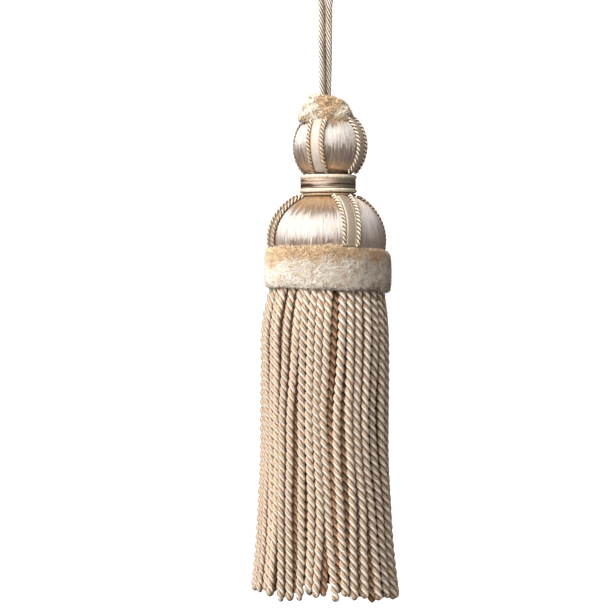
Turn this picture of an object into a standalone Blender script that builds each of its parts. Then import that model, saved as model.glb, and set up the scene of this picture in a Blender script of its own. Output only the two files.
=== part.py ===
"""Key tassel: a doubled hanging cord, a velvet tuft, a satin-wound ball, a wound collar,
a satin-wound bell, a two-tone velvet band and a skirt of twisted bullion loops.

Metres, +Z up. The origin is the place inside the top of the cord's loop where the tassel
hangs. The tassel reaches down along -Z and its front looks along -Y. An azimuth is in
degrees round the vertical axis, from 0 at the front towards +X.
"""

import math

import bmesh
import bpy
import numpy as np
from mathutils import Vector

MM = 0.001
GAP = 0.3 * MM  # clearance between neighbouring pieces

# Hanging cord: one length, doubled, its two legs side by side and turned round each other
CORD_DIAMETER = 1.9 * MM
CORD_POINT_SPACING = 2.0 * CORD_DIAMETER
LOOP_TOP = (0.0, 0.0, 0.95)
LEG_ROUTE = (  # x, y, z in mm of one leg, from the loop down; the other leg mirrors x and y
    (2.80, 0.00, 0.20),
    (4.85, 0.00, -1.85),
    (5.60, 0.00, -4.65),
    (5.15, 0.00, -7.40),
    (4.00, 0.00, -10.00),
    (2.60, 0.00, -12.60),
    (1.60, 0.00, -15.20),
    (1.15, 0.00, -18.00),
    (1.10, 0.05, -22.00),
    (1.10, 0.25, -28.00),
    (1.05, 0.46, -34.00),
    (0.86, 0.68, -40.00),
    (0.74, 0.81, -45.00),
    (0.74, 0.81, -50.10),
)

# Sideways place of each piece's axis: the head leans a little to one side
TUFT_X = 0.30 * MM
BALL_X = 1.40 * MM
COLLAR_X = 0.95 * MM
BELL_X = 0.80 * MM
BAND_X = 0.65 * MM
SKIRT_X = -0.10 * MM

# Velvet tuft round the foot of the cord, lying on the ball
TUFT_HOLE = 2.7 * MM
TUFT_RIM = 7.9 * MM
TUFT_CLEARANCE = 0.5 * MM
TUFT_LUMP = 0.035  # how far the pile's lumps dip in, as a share of the radius
TUFT_DOME = (  # radius, height in mm from the hole over the top to the rim
    (2.70, -45.30),
    (3.40, -44.50),
    (4.70, -45.10),
    (6.20, -47.10),
    (7.40, -49.40),
    (7.90, -51.20),
)
UNDERSIDE = -90.0 * MM  # a mark for points that are moved down onto the ball

# Ball: a mould wound with satin floss
BALL_RADIUS = 10.60 * MM
BALL_HALF_HEIGHT = 10.50 * MM
BALL_Z = -60.45 * MM
BALL_TOP_FLAT = 3.2 * MM
BALL_BOTTOM_Z = -68.80 * MM

# Collar: a wound drum with two plain beads and a thin one
COLLAR_TOP = -69.10 * MM
COLLAR_BOTTOM = -75.60 * MM
COLLAR_CORE_RADIUS = 7.0 * MM
DRUM_RADIUS = 8.35 * MM
DRUM_TOP = -70.70 * MM
DRUM_BOTTOM = -72.90 * MM
BEADS = (  # name, top, bottom, outer radius in mm
    ("collar_bead_upper", -69.10, -70.40, 8.6),
    ("collar_bead_lower", -73.20, -74.45, 8.6),
    ("collar_bead_thin", -74.75, -75.45, 8.4),
)

# Bell: a mould wound with satin floss, flat where the skirt's heading meets it
BELL_RADIUS = 17.30 * MM
BELL_HALF_HEIGHT = 14.50 * MM
BELL_Z = -88.50 * MM
BELL_TOP_Z = -75.90 * MM
BELL_BOTTOM_Z = -93.00 * MM

# Trims over ball and bell: a flat ribbon with a thin twisted cord along each edge
RIBBON_WIDTH = 2.25 * MM
RIBBON_THICKNESS = 1.0 * MM
RIBBON_LIFT = 0.4 * MM  # the flat strip over a round mould, clear of it at its middle
TRIM_CORD_DIAMETER = 1.2 * MM
TRIM_END_CLEARANCE = 0.55 * MM
TRIM_STEPS = 7
BALL_TRIMS = (  # azimuth at the top and at the bottom of each trim
    (-24.5, -21.5),
    (61.0, 61.0),
    (150.0, 151.0),
    (238.0, 238.0),
)
BALL_TRIM_SPREAD = (2.35 * MM, 2.15 * MM)  # ribbon's middle to each cord, top and bottom
BALL_TRIM_END = 132.0  # degrees down from the ball's top, just above the collar
BELL_TRIMS = (
    (27.0, 22.1),
    (115.0, 114.0),
    (202.0, 201.0),
    (289.0, 287.6),
)
BELL_TRIM_SPREAD = (2.70 * MM, 2.15 * MM)
BELL_TRIM_START = 32.0  # degrees down from the bell's top, just outside the collar

# Velvet band round the bell's foot and the skirt's heading
BAND_RADII = (18.8 * MM, 19.1 * MM, 18.6 * MM)  # outer, at the top, middle and bottom
BAND_CLEARANCE = 0.5 * MM
BAND_TOP_ROUNDING = 0.6 * MM
BAND_FOOT_ROUNDING = 0.4 * MM
BAND_EDGES = (  # azimuth, top and bottom in mm
    (-180.0, -90.6, -103.6),
    (-90.0, -90.3, -103.0),
    (-30.0, -89.8, -103.9),
    (0.0, -89.7, -104.3),
    (40.0, -90.6, -104.5),
    (90.0, -91.5, -104.6),
    (180.0, -90.6, -103.6),
)

# Skirt: one comb of bullion loops in two rows under a hidden heading
BULLIONS = 38  # loops in each row
HEADING_TOP = -93.30 * MM
HEADING_BOTTOM = -97.00 * MM
HEADING_OUTER = 16.9 * MM
HEADING_INNER = 12.0 * MM
ROW_DEPTH = 2.15 * MM
ROW_GAP = 0.45 * MM
OUTER_WIDTH = (2.15 * MM, 2.45 * MM)  # across a loop under the heading and at the hem
INNER_WIDTH = (1.75 * MM, 2.20 * MM)
SKIRT_SECTIONS = (  # height, outer radius, drift of the axis in mm
    (-99.0, 16.80, 0.65),
    (-104.6, 16.95, 0.65),
    (-109.0, 18.90, -0.10),
    (-152.0, 19.40, -0.10),
)
HEM_OUTER_RADIUS = 21.9 * MM
HEM_ROUNDING = 1.2 * MM
HEM_END_SHARE = 0.5  # the blunt end's width as a share of the loop's
HEM_UNEVENNESS = 0.6 * MM
HEM_UNEVEN_STEP = 2.4  # radians from one loop to the next
INNER_ROW_SHORTER = 0.5 * MM
HEM = (  # azimuth, height of the hem in mm
    (-180.0, -195.0),
    (-90.0, -193.6),
    (-60.0, -194.0),
    (-35.0, -195.9),
    (-10.0, -194.9),
    (25.0, -195.6),
    (60.0, -196.0),
    (90.0, -196.0),
    (180.0, -195.0),
)

# Facets round each turned piece
TUFT_FACETS = 24
BALL_FACETS = 28
BALL_ROWS = 10
COLLAR_FACETS = 24
BELL_FACETS = 32
BELL_ROWS = 8
BAND_FACETS = 36

FINISHES = {  # base colour, roughness
    "cord_yarn": ((0.62, 0.52, 0.42, 1.0), 0.75),
    "velvet": ((0.72, 0.58, 0.43, 1.0), 0.95),
    "satin_floss": ((0.66, 0.56, 0.48, 1.0), 0.35),
    "ivory_ribbon": ((0.86, 0.82, 0.75, 1.0), 0.45),
    "gold_trim": ((0.68, 0.53, 0.35, 1.0), 0.55),
    "collar_gimp": ((0.80, 0.73, 0.64, 1.0), 0.50),
    "bullion_yarn": ((0.70, 0.60, 0.47, 1.0), 0.60),
}


def clear_scene():
    for item in list(bpy.data.objects):
        bpy.data.objects.remove(item, do_unlink=True)


def finish_material(name):
    material = bpy.data.materials.get(name)
    if material is None:
        colour, roughness = FINISHES[name]
        material = bpy.data.materials.new(name)
        material.use_nodes = True
        shader = material.node_tree.nodes["Principled BSDF"]
        shader.inputs["Base Color"].default_value = colour
        shader.inputs["Roughness"].default_value = roughness
        shader.inputs["Metallic"].default_value = 0.0
    return material


def add_object(name, data, finish):
    item = bpy.data.objects.new(name, data)
    bpy.context.collection.objects.link(item)
    data.materials.append(finish_material(finish))
    return item


def add_mesh(name, bm, finish, smooth_angle=35.0):
    bmesh.ops.recalc_face_normals(bm, faces=bm.faces)
    mesh = bpy.data.meshes.new(name)
    bm.to_mesh(mesh)
    bm.free()
    mesh.shade_smooth()
    mesh.set_sharp_from_angle(angle=math.radians(smooth_angle))
    return add_object(name, mesh, finish)


def outward(azimuth):
    """Unit vector away from the axis at an azimuth."""
    turn = math.radians(azimuth)
    return Vector((math.sin(turn), -math.cos(turn), 0.0))


def azimuth_of(x, y):
    return math.degrees(math.atan2(x, -y))


def read_table(table, column, value):
    """A column of a table, at a value of its first column."""
    return float(np.interp(value, [row[0] for row in table], [row[column] for row in table]))


def read_round(table, column, azimuth):
    return read_table(table, column, (azimuth + 180.0) % 360.0 - 180.0)


def dome_radius(radius, half_height, centre_z, z):
    """Radius of an ellipsoid at a height."""
    share = (z - centre_z) / half_height
    return radius * math.sqrt(max(0.0, 1.0 - share * share))


def spun(outline, facets, closed):
    """Spin an outline of (radius, height) points, in metres, round the vertical axis."""
    bm = bmesh.new()
    points = [bm.verts.new((radius, 0.0, height)) for radius, height in outline]
    edges = [bm.edges.new(pair) for pair in zip(points, points[1:])]
    if closed:
        edges.append(bm.edges.new((points[-1], points[0])))
    bmesh.ops.spin(
        bm,
        geom=points + edges,
        cent=(0.0, 0.0, 0.0),
        axis=(0.0, 0.0, 1.0),
        angle=math.tau,
        steps=facets,
        use_merge=True,
    )
    bmesh.ops.remove_doubles(bm, verts=bm.verts, dist=1e-6)
    return bm


def add_turned(name, outline, finish, facets, axis_x, closed=False, reshape=None):
    bm = spun(outline, facets, closed)
    for vertex in bm.verts:
        if reshape:
            vertex.co = reshape(vertex.co)
        vertex.co.x += axis_x
    return add_mesh(name, bm, finish)


def smooth_route(points, spacing):
    """Points at an even spacing along a smooth curve through the given ones."""
    route = np.array(points)
    padded = np.vstack([2 * route[0] - route[1], route, 2 * route[-1] - route[-2]])
    fine = []
    for before, start, end, after in zip(padded, padded[1:], padded[2:], padded[3:]):
        for t in np.linspace(0.0, 1.0, 16, endpoint=False):
            bend = 2 * before - 5 * start + 4 * end - after
            turn = 3 * start - before - 3 * end + after
            fine.append(0.5 * (2 * start + (end - before) * t + bend * t**2 + turn * t**3))
    fine.append(route[-1])
    fine = np.array(fine)
    along = np.concatenate([[0.0], np.cumsum(np.linalg.norm(np.diff(fine, axis=0), axis=1))])
    marks = np.linspace(0.0, along[-1], round(along[-1] / spacing) + 1)
    return np.column_stack([np.interp(marks, along, fine[:, axis]) for axis in range(3)])


def add_tube(name, points, diameter, finish, bevel_resolution):
    curve = bpy.data.curves.new(name, "CURVE")
    curve.dimensions = "3D"
    curve.bevel_depth = diameter / 2
    curve.bevel_resolution = bevel_resolution
    curve.render_resolution_u = 0
    curve.use_fill_caps = True
    spline = curve.splines.new("POLY")
    spline.points.add(len(points) - 1)
    for place, point in zip(spline.points, points):
        place.co = (*point, 1.0)
    return add_object(name, curve, finish)


def add_hanging_cord():
    leg = [tuple(value * MM for value in point) for point in LEG_ROUTE]
    other_leg = [(-x, -y, z) for x, y, z in leg]
    top = tuple(value * MM for value in LOOP_TOP)
    route = smooth_route(other_leg[::-1] + [top] + leg, CORD_POINT_SPACING)
    return add_tube("hanging_cord", route, CORD_DIAMETER, "cord_yarn", 2)


def ball_surface(x, y):
    """Height of the ball's upper side over a place, in the world."""
    reach = math.hypot(x - BALL_X, y)
    share = min(1.0, reach / BALL_RADIUS)
    return BALL_Z + BALL_HALF_HEIGHT * math.sqrt(1.0 - share * share)


def add_tuft():
    dome = [(radius * MM, height * MM) for radius, height in TUFT_DOME]
    rim_radius = TUFT_RIM - TUFT_CLEARANCE
    foot = [(rim_radius, UNDERSIDE), (0.5 * (rim_radius + TUFT_HOLE), UNDERSIDE), (TUFT_HOLE, UNDERSIDE)]

    def lie_on_ball(point):
        x, y, z = point
        if z < UNDERSIDE + GAP:
            return Vector((x, y, ball_surface(x + TUFT_X, y) + TUFT_CLEARANCE))
        turn = math.atan2(y, x)
        dip = TUFT_LUMP * (1.0 + math.sin(3.0 * turn + 0.7)) / 2
        swell = min(1.0, max(0.0, (math.hypot(x, y) - TUFT_HOLE) / TUFT_HOLE))
        return Vector((x * (1.0 - dip * swell), y * (1.0 - dip * swell), z))

    return add_turned("velvet_tuft", dome + foot, "velvet", TUFT_FACETS, TUFT_X, True, lie_on_ball)


def dome_outline(radius, half_height, centre_z, top_z, bottom_z, rows):
    """Outline of an ellipsoid cut flat at both ends, from the axis to the axis."""
    first = math.acos(min(1.0, (top_z - centre_z) / half_height))
    last = math.acos((bottom_z - centre_z) / half_height)
    angles = [first + (last - first) * row / rows for row in range(rows + 1)]
    side = [(radius * math.sin(a), centre_z + half_height * math.cos(a)) for a in angles]
    return [(0.0, side[0][1])] + side + [(0.0, side[-1][1])]


def add_ball():
    top_angle = math.asin(BALL_TOP_FLAT / BALL_RADIUS)
    top_z = BALL_Z + BALL_HALF_HEIGHT * math.cos(top_angle)
    outline = dome_outline(BALL_RADIUS, BALL_HALF_HEIGHT, BALL_Z, top_z, BALL_BOTTOM_Z, BALL_ROWS)
    return add_turned("ball", outline, "satin_floss", BALL_FACETS, BALL_X)


def add_collar():
    outline = (
        (0.0, COLLAR_TOP),
        (COLLAR_CORE_RADIUS, COLLAR_TOP),
        (COLLAR_CORE_RADIUS, DRUM_TOP),
        (DRUM_RADIUS, DRUM_TOP),
        (DRUM_RADIUS, DRUM_BOTTOM),
        (COLLAR_CORE_RADIUS, DRUM_BOTTOM),
        (COLLAR_CORE_RADIUS, COLLAR_BOTTOM),
        (0.0, COLLAR_BOTTOM),
    )
    add_turned("collar", outline, "satin_floss", COLLAR_FACETS, COLLAR_X)
    inner = COLLAR_CORE_RADIUS + GAP
    for name, top, bottom, outer in BEADS:
        top, bottom, outer = top * MM, bottom * MM, outer * MM
        height = top - bottom
        shoulder = outer - 0.3 * height
        ring = (
            (inner, top),
            (shoulder, top),
            (outer, top - 0.3 * height),
            (outer, bottom + 0.3 * height),
            (shoulder, bottom),
            (inner, bottom),
        )
        add_turned(name, ring, "collar_gimp", COLLAR_FACETS, COLLAR_X, closed=True)


def add_bell():
    outline = dome_outline(BELL_RADIUS, BELL_HALF_HEIGHT, BELL_Z, BELL_TOP_Z, BELL_BOTTOM_Z, BELL_ROWS)
    return add_turned("bell", outline, "satin_floss", BELL_FACETS, BELL_X)


def on_dome(radius, half_height, centre, down, azimuth):
    """A point on an ellipsoid and the direction out of it; down is in degrees from its top."""
    turn = math.radians(down)
    away = outward(azimuth)
    up = Vector((0.0, 0.0, 1.0))
    point = centre + away * radius * math.sin(turn) + up * half_height * math.cos(turn)
    normal = (away * math.sin(turn) / radius + up * math.cos(turn) / half_height).normalized()
    return point, normal


def add_ribbon(name, places):
    """A flat strip along (point, normal) places on a dome."""
    bm = bmesh.new()
    rings = []
    for index, (point, normal) in enumerate(places):
        before = places[max(0, index - 1)][0]
        after = places[min(len(places) - 1, index + 1)][0]
        side = (after - before).cross(normal).normalized() * RIBBON_WIDTH / 2
        low = point + normal * RIBBON_LIFT
        high = point + normal * (RIBBON_LIFT + RIBBON_THICKNESS)
        rings.append([bm.verts.new(corner) for corner in (low - side, low + side, high + side, high - side)])
    for ring, following in zip(rings, rings[1:]):
        for corner in range(4):
            beside = (corner + 1) % 4
            bm.faces.new((ring[corner], ring[beside], following[beside], following[corner]))
    bm.faces.new(rings[0])
    bm.faces.new(rings[-1])
    return add_mesh(name, bm, "ivory_ribbon")


def add_trims(mould, radius, half_height, centre, trims, spread, start, end):
    """Ribbons and their edge cords; start and end give degrees down at an azimuth."""
    def route(azimuths, side):
        """Places down one line of a trim; side is -1, 0 or 1 for its left, middle or right."""
        turn = math.degrees(side * spread[1] / radius)
        first, last = start(azimuths[0]), end(azimuths[1] + turn)
        for step in range(TRIM_STEPS + 1):
            share = step / TRIM_STEPS
            down = first + (last - first) * share
            reach = side * (spread[0] + (spread[1] - spread[0]) * share)
            turn = math.degrees(reach / (radius * math.sin(math.radians(down))))
            azimuth = azimuths[0] + (azimuths[1] - azimuths[0]) * share + turn
            yield on_dome(radius, half_height, centre, down, azimuth)

    for number, azimuths in enumerate(trims, 1):
        add_ribbon(f"{mould}_ribbon_{number}", list(route(azimuths, 0)))
        for edge, side in (("a", -1), ("b", 1)):
            lift = GAP + TRIM_CORD_DIAMETER / 2
            points = [point + normal * lift for point, normal in route(azimuths, side)]
            add_tube(f"{mould}_cord_{number}{edge}", points, TRIM_CORD_DIAMETER, "gold_trim", 1)


def add_ball_trims():
    def below_tuft(azimuth):
        """Where the tuft's rim, which is not centred on the ball, uncovers it."""
        sideways = (TUFT_X - BALL_X) * math.sin(math.radians(azimuth))
        return math.degrees(math.asin((TUFT_RIM + sideways + TUFT_CLEARANCE) / BALL_RADIUS))

    centre = Vector((BALL_X, 0.0, BALL_Z))
    add_trims(
        "ball",
        BALL_RADIUS,
        BALL_HALF_HEIGHT,
        centre,
        BALL_TRIMS,
        BALL_TRIM_SPREAD,
        below_tuft,
        lambda azimuth: BALL_TRIM_END,
    )


def add_bell_trims():
    def above_band(azimuth):
        z = read_round(BAND_EDGES, 1, azimuth) * MM + TRIM_END_CLEARANCE
        return math.degrees(math.acos((z - BELL_Z) / BELL_HALF_HEIGHT))

    centre = Vector((BELL_X, 0.0, BELL_Z))
    add_trims(
        "bell",
        BELL_RADIUS,
        BELL_HALF_HEIGHT,
        centre,
        BELL_TRIMS,
        BELL_TRIM_SPREAD,
        lambda azimuth: BELL_TRIM_START,
        above_band,
    )


def add_band():
    """The band's outline holds shares of its height, which its uneven edges then scale."""
    top, middle, bottom = BAND_RADII
    outline = (
        (top - BAND_TOP_ROUNDING, 1.0),
        (top, 0.93),
        (middle, 0.65),
        (middle, 0.35),
        (bottom, 0.05),
        (bottom - BAND_FOOT_ROUNDING, 0.0),
        (0.0, 0.0),
        (0.0, 0.75),
        (0.0, 1.0),
    )
    bm = bmesh.new()
    rings = []
    for facet in range(BAND_FACETS):
        azimuth = 360.0 * facet / BAND_FACETS
        high = read_round(BAND_EDGES, 1, azimuth) * MM
        low = read_round(BAND_EDGES, 2, azimuth) * MM
        ring = []
        for radius, share in outline:
            z = low + (high - low) * share
            bell = dome_radius(BELL_RADIUS, BELL_HALF_HEIGHT, BELL_Z, max(z, BELL_BOTTOM_Z))
            inner = max(bell, HEADING_OUTER) + BAND_CLEARANCE
            place = outward(azimuth) * (radius or inner)
            ring.append(bm.verts.new((place.x + BAND_X, place.y, z)))
        rings.append(ring)
    for ring, following in zip(rings, rings[1:] + rings[:1]):
        for corner in range(len(ring)):
            beside = (corner + 1) % len(ring)
            bm.faces.new((ring[corner], ring[beside], following[beside], following[corner]))
    return add_mesh("velvet_band", bm, "velvet")


def hem_height(azimuth, number):
    uneven = HEM_UNEVENNESS * math.sin(HEM_UNEVEN_STEP * number)
    return read_round(HEM, 1, azimuth) * MM + uneven


def loop_sections(row, azimuth, number):
    """Centre, radial depth and width of one bullion loop at each height down to its end."""
    inner = row == "inner"
    inward = ROW_DEPTH + ROW_GAP if inner else 0.0
    first, last = INNER_WIDTH if inner else OUTER_WIDTH
    hem = hem_height(azimuth, number) + (INNER_ROW_SHORTER if inner else 0.0)
    sections = [tuple(value * MM for value in section) for section in SKIRT_SECTIONS]
    sections.append((hem + HEM_ROUNDING, HEM_OUTER_RADIUS, SKIRT_X))
    sections.append((hem, HEM_OUTER_RADIUS, SKIRT_X))
    for z, outer, drift in sections:
        share = (HEADING_BOTTOM - z) / (HEADING_BOTTOM - hem)
        size = HEM_END_SHARE if z == hem else 1.0
        radius = outer - inward - ROW_DEPTH / 2
        centre = outward(azimuth) * radius + Vector((drift, 0.0, z))
        yield centre, ROW_DEPTH * size, (first + (last - first) * share) * size


def draw_loop(bm, face, azimuth, sections):
    """Extrude a face of the heading down through the sections of one loop."""
    away, across = outward(azimuth), outward(azimuth + 90.0)
    for centre, depth, width in sections:
        middle = face.calc_center_median()
        outer = [(vertex.co - middle).dot(away) > 0 for vertex in face.verts]
        right = [(vertex.co - middle).dot(across) > 0 for vertex in face.verts]
        face = bmesh.ops.extrude_discrete_faces(bm, faces=[face])["faces"][0]
        for vertex, is_outer, is_right in zip(face.verts, outer, right):
            radial = away * (depth / 2 if is_outer else -depth / 2)
            sideways = across * (width / 2 if is_right else -width / 2)
            vertex.co = centre + radial + sideways


def add_skirt():
    """The heading is a spun ring; a face under it, in every other column, starts each loop."""
    row_edge = HEADING_OUTER - ROW_DEPTH
    inner_row_edge = row_edge - ROW_GAP
    outline = (
        (HEADING_INNER, HEADING_TOP),
        (HEADING_OUTER, HEADING_TOP),
        (HEADING_OUTER, HEADING_BOTTOM),
        (row_edge, HEADING_BOTTOM),
        (inner_row_edge, HEADING_BOTTOM),
        (HEADING_INNER, HEADING_BOTTOM),
    )
    columns = 2 * BULLIONS
    bm = spun(outline, columns, True)
    bmesh.ops.recalc_face_normals(bm, faces=bm.faces)
    starts = []
    for face in bm.faces:
        middle = face.calc_center_median()
        radius, azimuth = math.hypot(middle.x, middle.y), azimuth_of(middle.x, middle.y)
        column = math.floor(azimuth * columns / 360.0)
        if face.normal.z > -0.9 or inner_row_edge < radius < row_edge:
            continue
        row = "outer" if radius > row_edge else "inner"
        if column % 2 == (row == "inner"):
            starts.append((face, row, azimuth, column // 2))
    bmesh.ops.translate(bm, verts=bm.verts, vec=(BAND_X, 0.0, 0.0))
    for face, row, azimuth, number in starts:
        draw_loop(bm, face, azimuth, loop_sections(row, azimuth, number))
    return add_mesh("bullion_skirt", bm, "bullion_yarn", smooth_angle=50.0)


def main():
    clear_scene()
    add_hanging_cord()
    add_tuft()
    add_ball()
    add_ball_trims()
    add_collar()
    add_bell()
    add_bell_trims()
    add_band()
    add_skirt()


main()
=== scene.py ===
"""Key tassel: the finish of every piece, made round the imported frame.

Metres, +Z up, in the frame's own coordinates: the origin is inside the top of the cord's
loop, the tassel hangs along -Z and its front looks along -Y. An azimuth is in degrees round
the vertical axis, from 0 at the front towards +X.
"""

import math

import bpy
import numpy as np
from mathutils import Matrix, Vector


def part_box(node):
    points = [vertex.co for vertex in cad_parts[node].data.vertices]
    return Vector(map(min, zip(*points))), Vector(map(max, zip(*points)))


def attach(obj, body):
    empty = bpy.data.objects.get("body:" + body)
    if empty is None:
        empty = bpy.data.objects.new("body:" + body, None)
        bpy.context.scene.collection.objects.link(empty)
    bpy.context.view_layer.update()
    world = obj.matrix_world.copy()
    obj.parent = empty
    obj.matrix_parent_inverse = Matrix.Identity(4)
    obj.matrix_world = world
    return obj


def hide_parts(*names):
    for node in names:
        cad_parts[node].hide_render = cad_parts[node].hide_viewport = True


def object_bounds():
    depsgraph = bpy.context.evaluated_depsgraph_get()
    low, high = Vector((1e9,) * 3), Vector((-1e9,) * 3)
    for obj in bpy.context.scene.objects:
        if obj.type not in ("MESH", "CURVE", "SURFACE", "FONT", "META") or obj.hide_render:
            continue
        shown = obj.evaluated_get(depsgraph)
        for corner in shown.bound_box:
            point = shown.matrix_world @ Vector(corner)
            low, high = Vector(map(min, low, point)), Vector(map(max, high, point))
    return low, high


bl_info = {
    "name": "Key tassel",
    "version": (1, 0, 0),
    "blender": (4, 5, 0),
    "location": "3D View > Sidebar > Tassel",
    "description": "Finishes a key tassel: cord, velvet, satin moulds, trims, collar and bullions",
    "category": "Add Mesh",
}

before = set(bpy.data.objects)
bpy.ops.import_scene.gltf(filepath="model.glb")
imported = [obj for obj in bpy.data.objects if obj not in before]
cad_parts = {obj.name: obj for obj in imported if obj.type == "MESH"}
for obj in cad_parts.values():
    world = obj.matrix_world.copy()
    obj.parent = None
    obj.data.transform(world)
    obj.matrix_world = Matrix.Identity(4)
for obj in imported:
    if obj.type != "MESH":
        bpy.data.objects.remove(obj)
cad_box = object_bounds()

MM = 0.001
TINY = 1e-6
BODY = "root"

# Hanging cord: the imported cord's route with its legs drawn together, in mm
LOOP_TOP = (0.0, 0.0, 0.95)
LEG_ROUTE = (  # x, y, z of one leg, from the loop down; the other leg mirrors x and y
    (2.80, 0.00, 0.20),
    (4.85, 0.00, -1.85),
    (5.60, 0.00, -4.65),
    (5.15, 0.00, -7.40),
    (4.00, 0.00, -10.00),
    (2.60, 0.00, -12.60),
    (1.55, 0.00, -15.20),
    (1.12, 0.00, -18.00),
    (1.08, 0.08, -22.00),
    (1.06, 0.28, -28.00),
    (1.00, 0.46, -34.00),
    (0.84, 0.68, -40.00),
    (0.74, 0.81, -45.00),
    (0.74, 0.81, -50.10),
)

CORD_PLY = 0.30  # a ply's radius as a share of the cord's

# Velvet tuft: radius, height in mm of the cloth under the pile, from the hole to the rim
TUFT_DOME = (
    (2.30, -46.90),
    (2.80, -46.10),
    (3.90, -46.20),
    (5.00, -47.20),
    (6.15, -48.80),
    (7.10, -50.60),
    (7.30, -51.90),
    (6.90, -52.60),
    (6.00, -51.40),
    (4.20, -50.30),
    (2.50, -50.00),
)

TUFT_STEP = 0.45 * MM  # spacing of the points from the hole to the rim
TUFT_TURN = 4.0  # degrees round the tuft between points
TUFT_NECK = 2.3 * MM  # radius from which the cloth swells into lumps
TUFT_SWELL = 3.0 * MM  # distance over which it does
TUFT_WAVES = (2, 3, 5, 7, 9)  # lumps in one round
TUFT_WAVE = 0.06  # a lump's height as a share of the radius, less for the narrower ones
TUFT_RISE = 2.0 * MM  # lift of the cloth where lump and tilt add up to one
TUFT_TILT = 0.9  # tilt towards the raised side
TUFT_TILT_TURN = 70.0  # degrees from the raised side to the front
TUFT_SHOULDER = -48.0 * MM  # height below which the front hangs forwards and down
TUFT_FLANK = 4.6 * MM
FRONT_REACH = 0.75 * MM
FRONT_DROP = 0.8 * MM
KNOT_REACH = 0.16 * MM  # size of the cloth's small knots, outwards and upwards
KNOT_HEIGHT = 0.14 * MM
PILE_LIMIT = 3.0e7  # most hairs on a square metre before the least spacing thins them

# Wound moulds
THREAD_COLUMNS = 4.0  # columns of points across each thread of floss
CREVICE_SHADE = (72, 40, 12)  # painted shade at a mould's ends, where it runs in at its top and its foot

# Trims over the moulds, close to where they are packed
BALL_TRIMS = (  # azimuth at the top and at the bottom of each trim
    (-25.6, -22.6),
    (61.0, 61.0),
    (150.0, 151.0),
    (238.0, 238.0),
)
BELL_TRIMS = (
    (27.0, 22.1),
    (115.0, 114.0),
    (202.0, 201.0),
    (289.0, 287.6),
)
BALL_TRIM_SPREAD = (2.15 * MM, 1.98 * MM)  # ribbon's middle to each cord, top and bottom
TUFT_COVER = 6.5 * MM  # the ball's trims start inside this radius, under the tuft
TUCKED_IN = (-0.3, 0.1, 0.55)  # share of a cord's lift at its first places under the tuft
BELL_TRIM_SPREAD = (2.70 * MM, 2.15 * MM)
BALL_TRIM_START = 47.0  # degrees down from the ball's top, at most, and where the trims end
BALL_TRIM_END = 136.0
BELL_TRIM_START = 31.0
BELL_TRIM_TUCK = 3.0  # degrees that the bell's trims go on behind the band
TRIM_PLACES = 25
RIBBON_COLUMNS = 13
RIBBON_THICKNESS = 0.28 * MM
RIBBON_CROWN = 0.16 * MM  # how far the middle stands up, and the edges bend down
RIBBON_BEND = 0.10 * MM
EDGE_PLY = 0.29  # a ply's radius as a share of the edge cord's diameter

# Collar: heights and radii of the drum, and the beads' inner radius
DRUM_TOP = -70.55 * MM
DRUM_BOTTOM = -73.05 * MM
DRUM_RELIEF = 0.12 * MM
DRUM_STEPS = 6  # points to each turn of thread
DRUM_STREAK_SHADE = (0.08, 0.055, 0.04)  # painted shade: colour of the drum's dark streaks, as shares of its thread's colour
COLLAR_TURN = 2.0  # degrees round the collar and its beads between points
COLLAR_CORE = 7.0 * MM
COLLAR_HOLE = 0.3 * MM
BEAD_INSIDE = 7.3 * MM
BEAD_STEPS = 12
BEAD_UNDER_SHADE = (84, 54, 32)  # painted shade where a bead turns under

# Velvet band: azimuth, top and bottom in mm
BAND_EDGES = (
    (-180.0, -90.6, -103.6),
    (-90.0, -90.3, -103.0),
    (-30.0, -89.8, -103.9),
    (0.0, -89.7, -104.3),
    (40.0, -90.6, -104.5),
    (90.0, -91.5, -104.6),
    (180.0, -90.6, -103.6),
)

BAND_SECTION = (  # radius in mm and share of the band's height
    (17.30, 0.13),
    (17.70, 0.07),
    (18.05, 0.09),
    (18.28, 0.17),
    (18.40, 0.32),
    (18.40, 0.55),
    (18.32, 0.74),
    (18.10, 0.86),
    (17.70, 0.92),
    (17.30, 0.86),
    (17.25, 0.50),
)
BAND_TOP_WAVES = ((0.18, 7, 1.0), (0.12, 13, 0.0))  # size in mm, waves in one round, start
BAND_FOOT_WAVES = ((0.15, 9, 2.0),)
BAND_SWELL = ((0.16, 5, 0.6), (0.12, 11, 2.1))
BAND_TURN = 3.0  # degrees round the band between points
BAND_SPLIT = -94.8 * MM  # where the band's two colours meet

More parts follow.
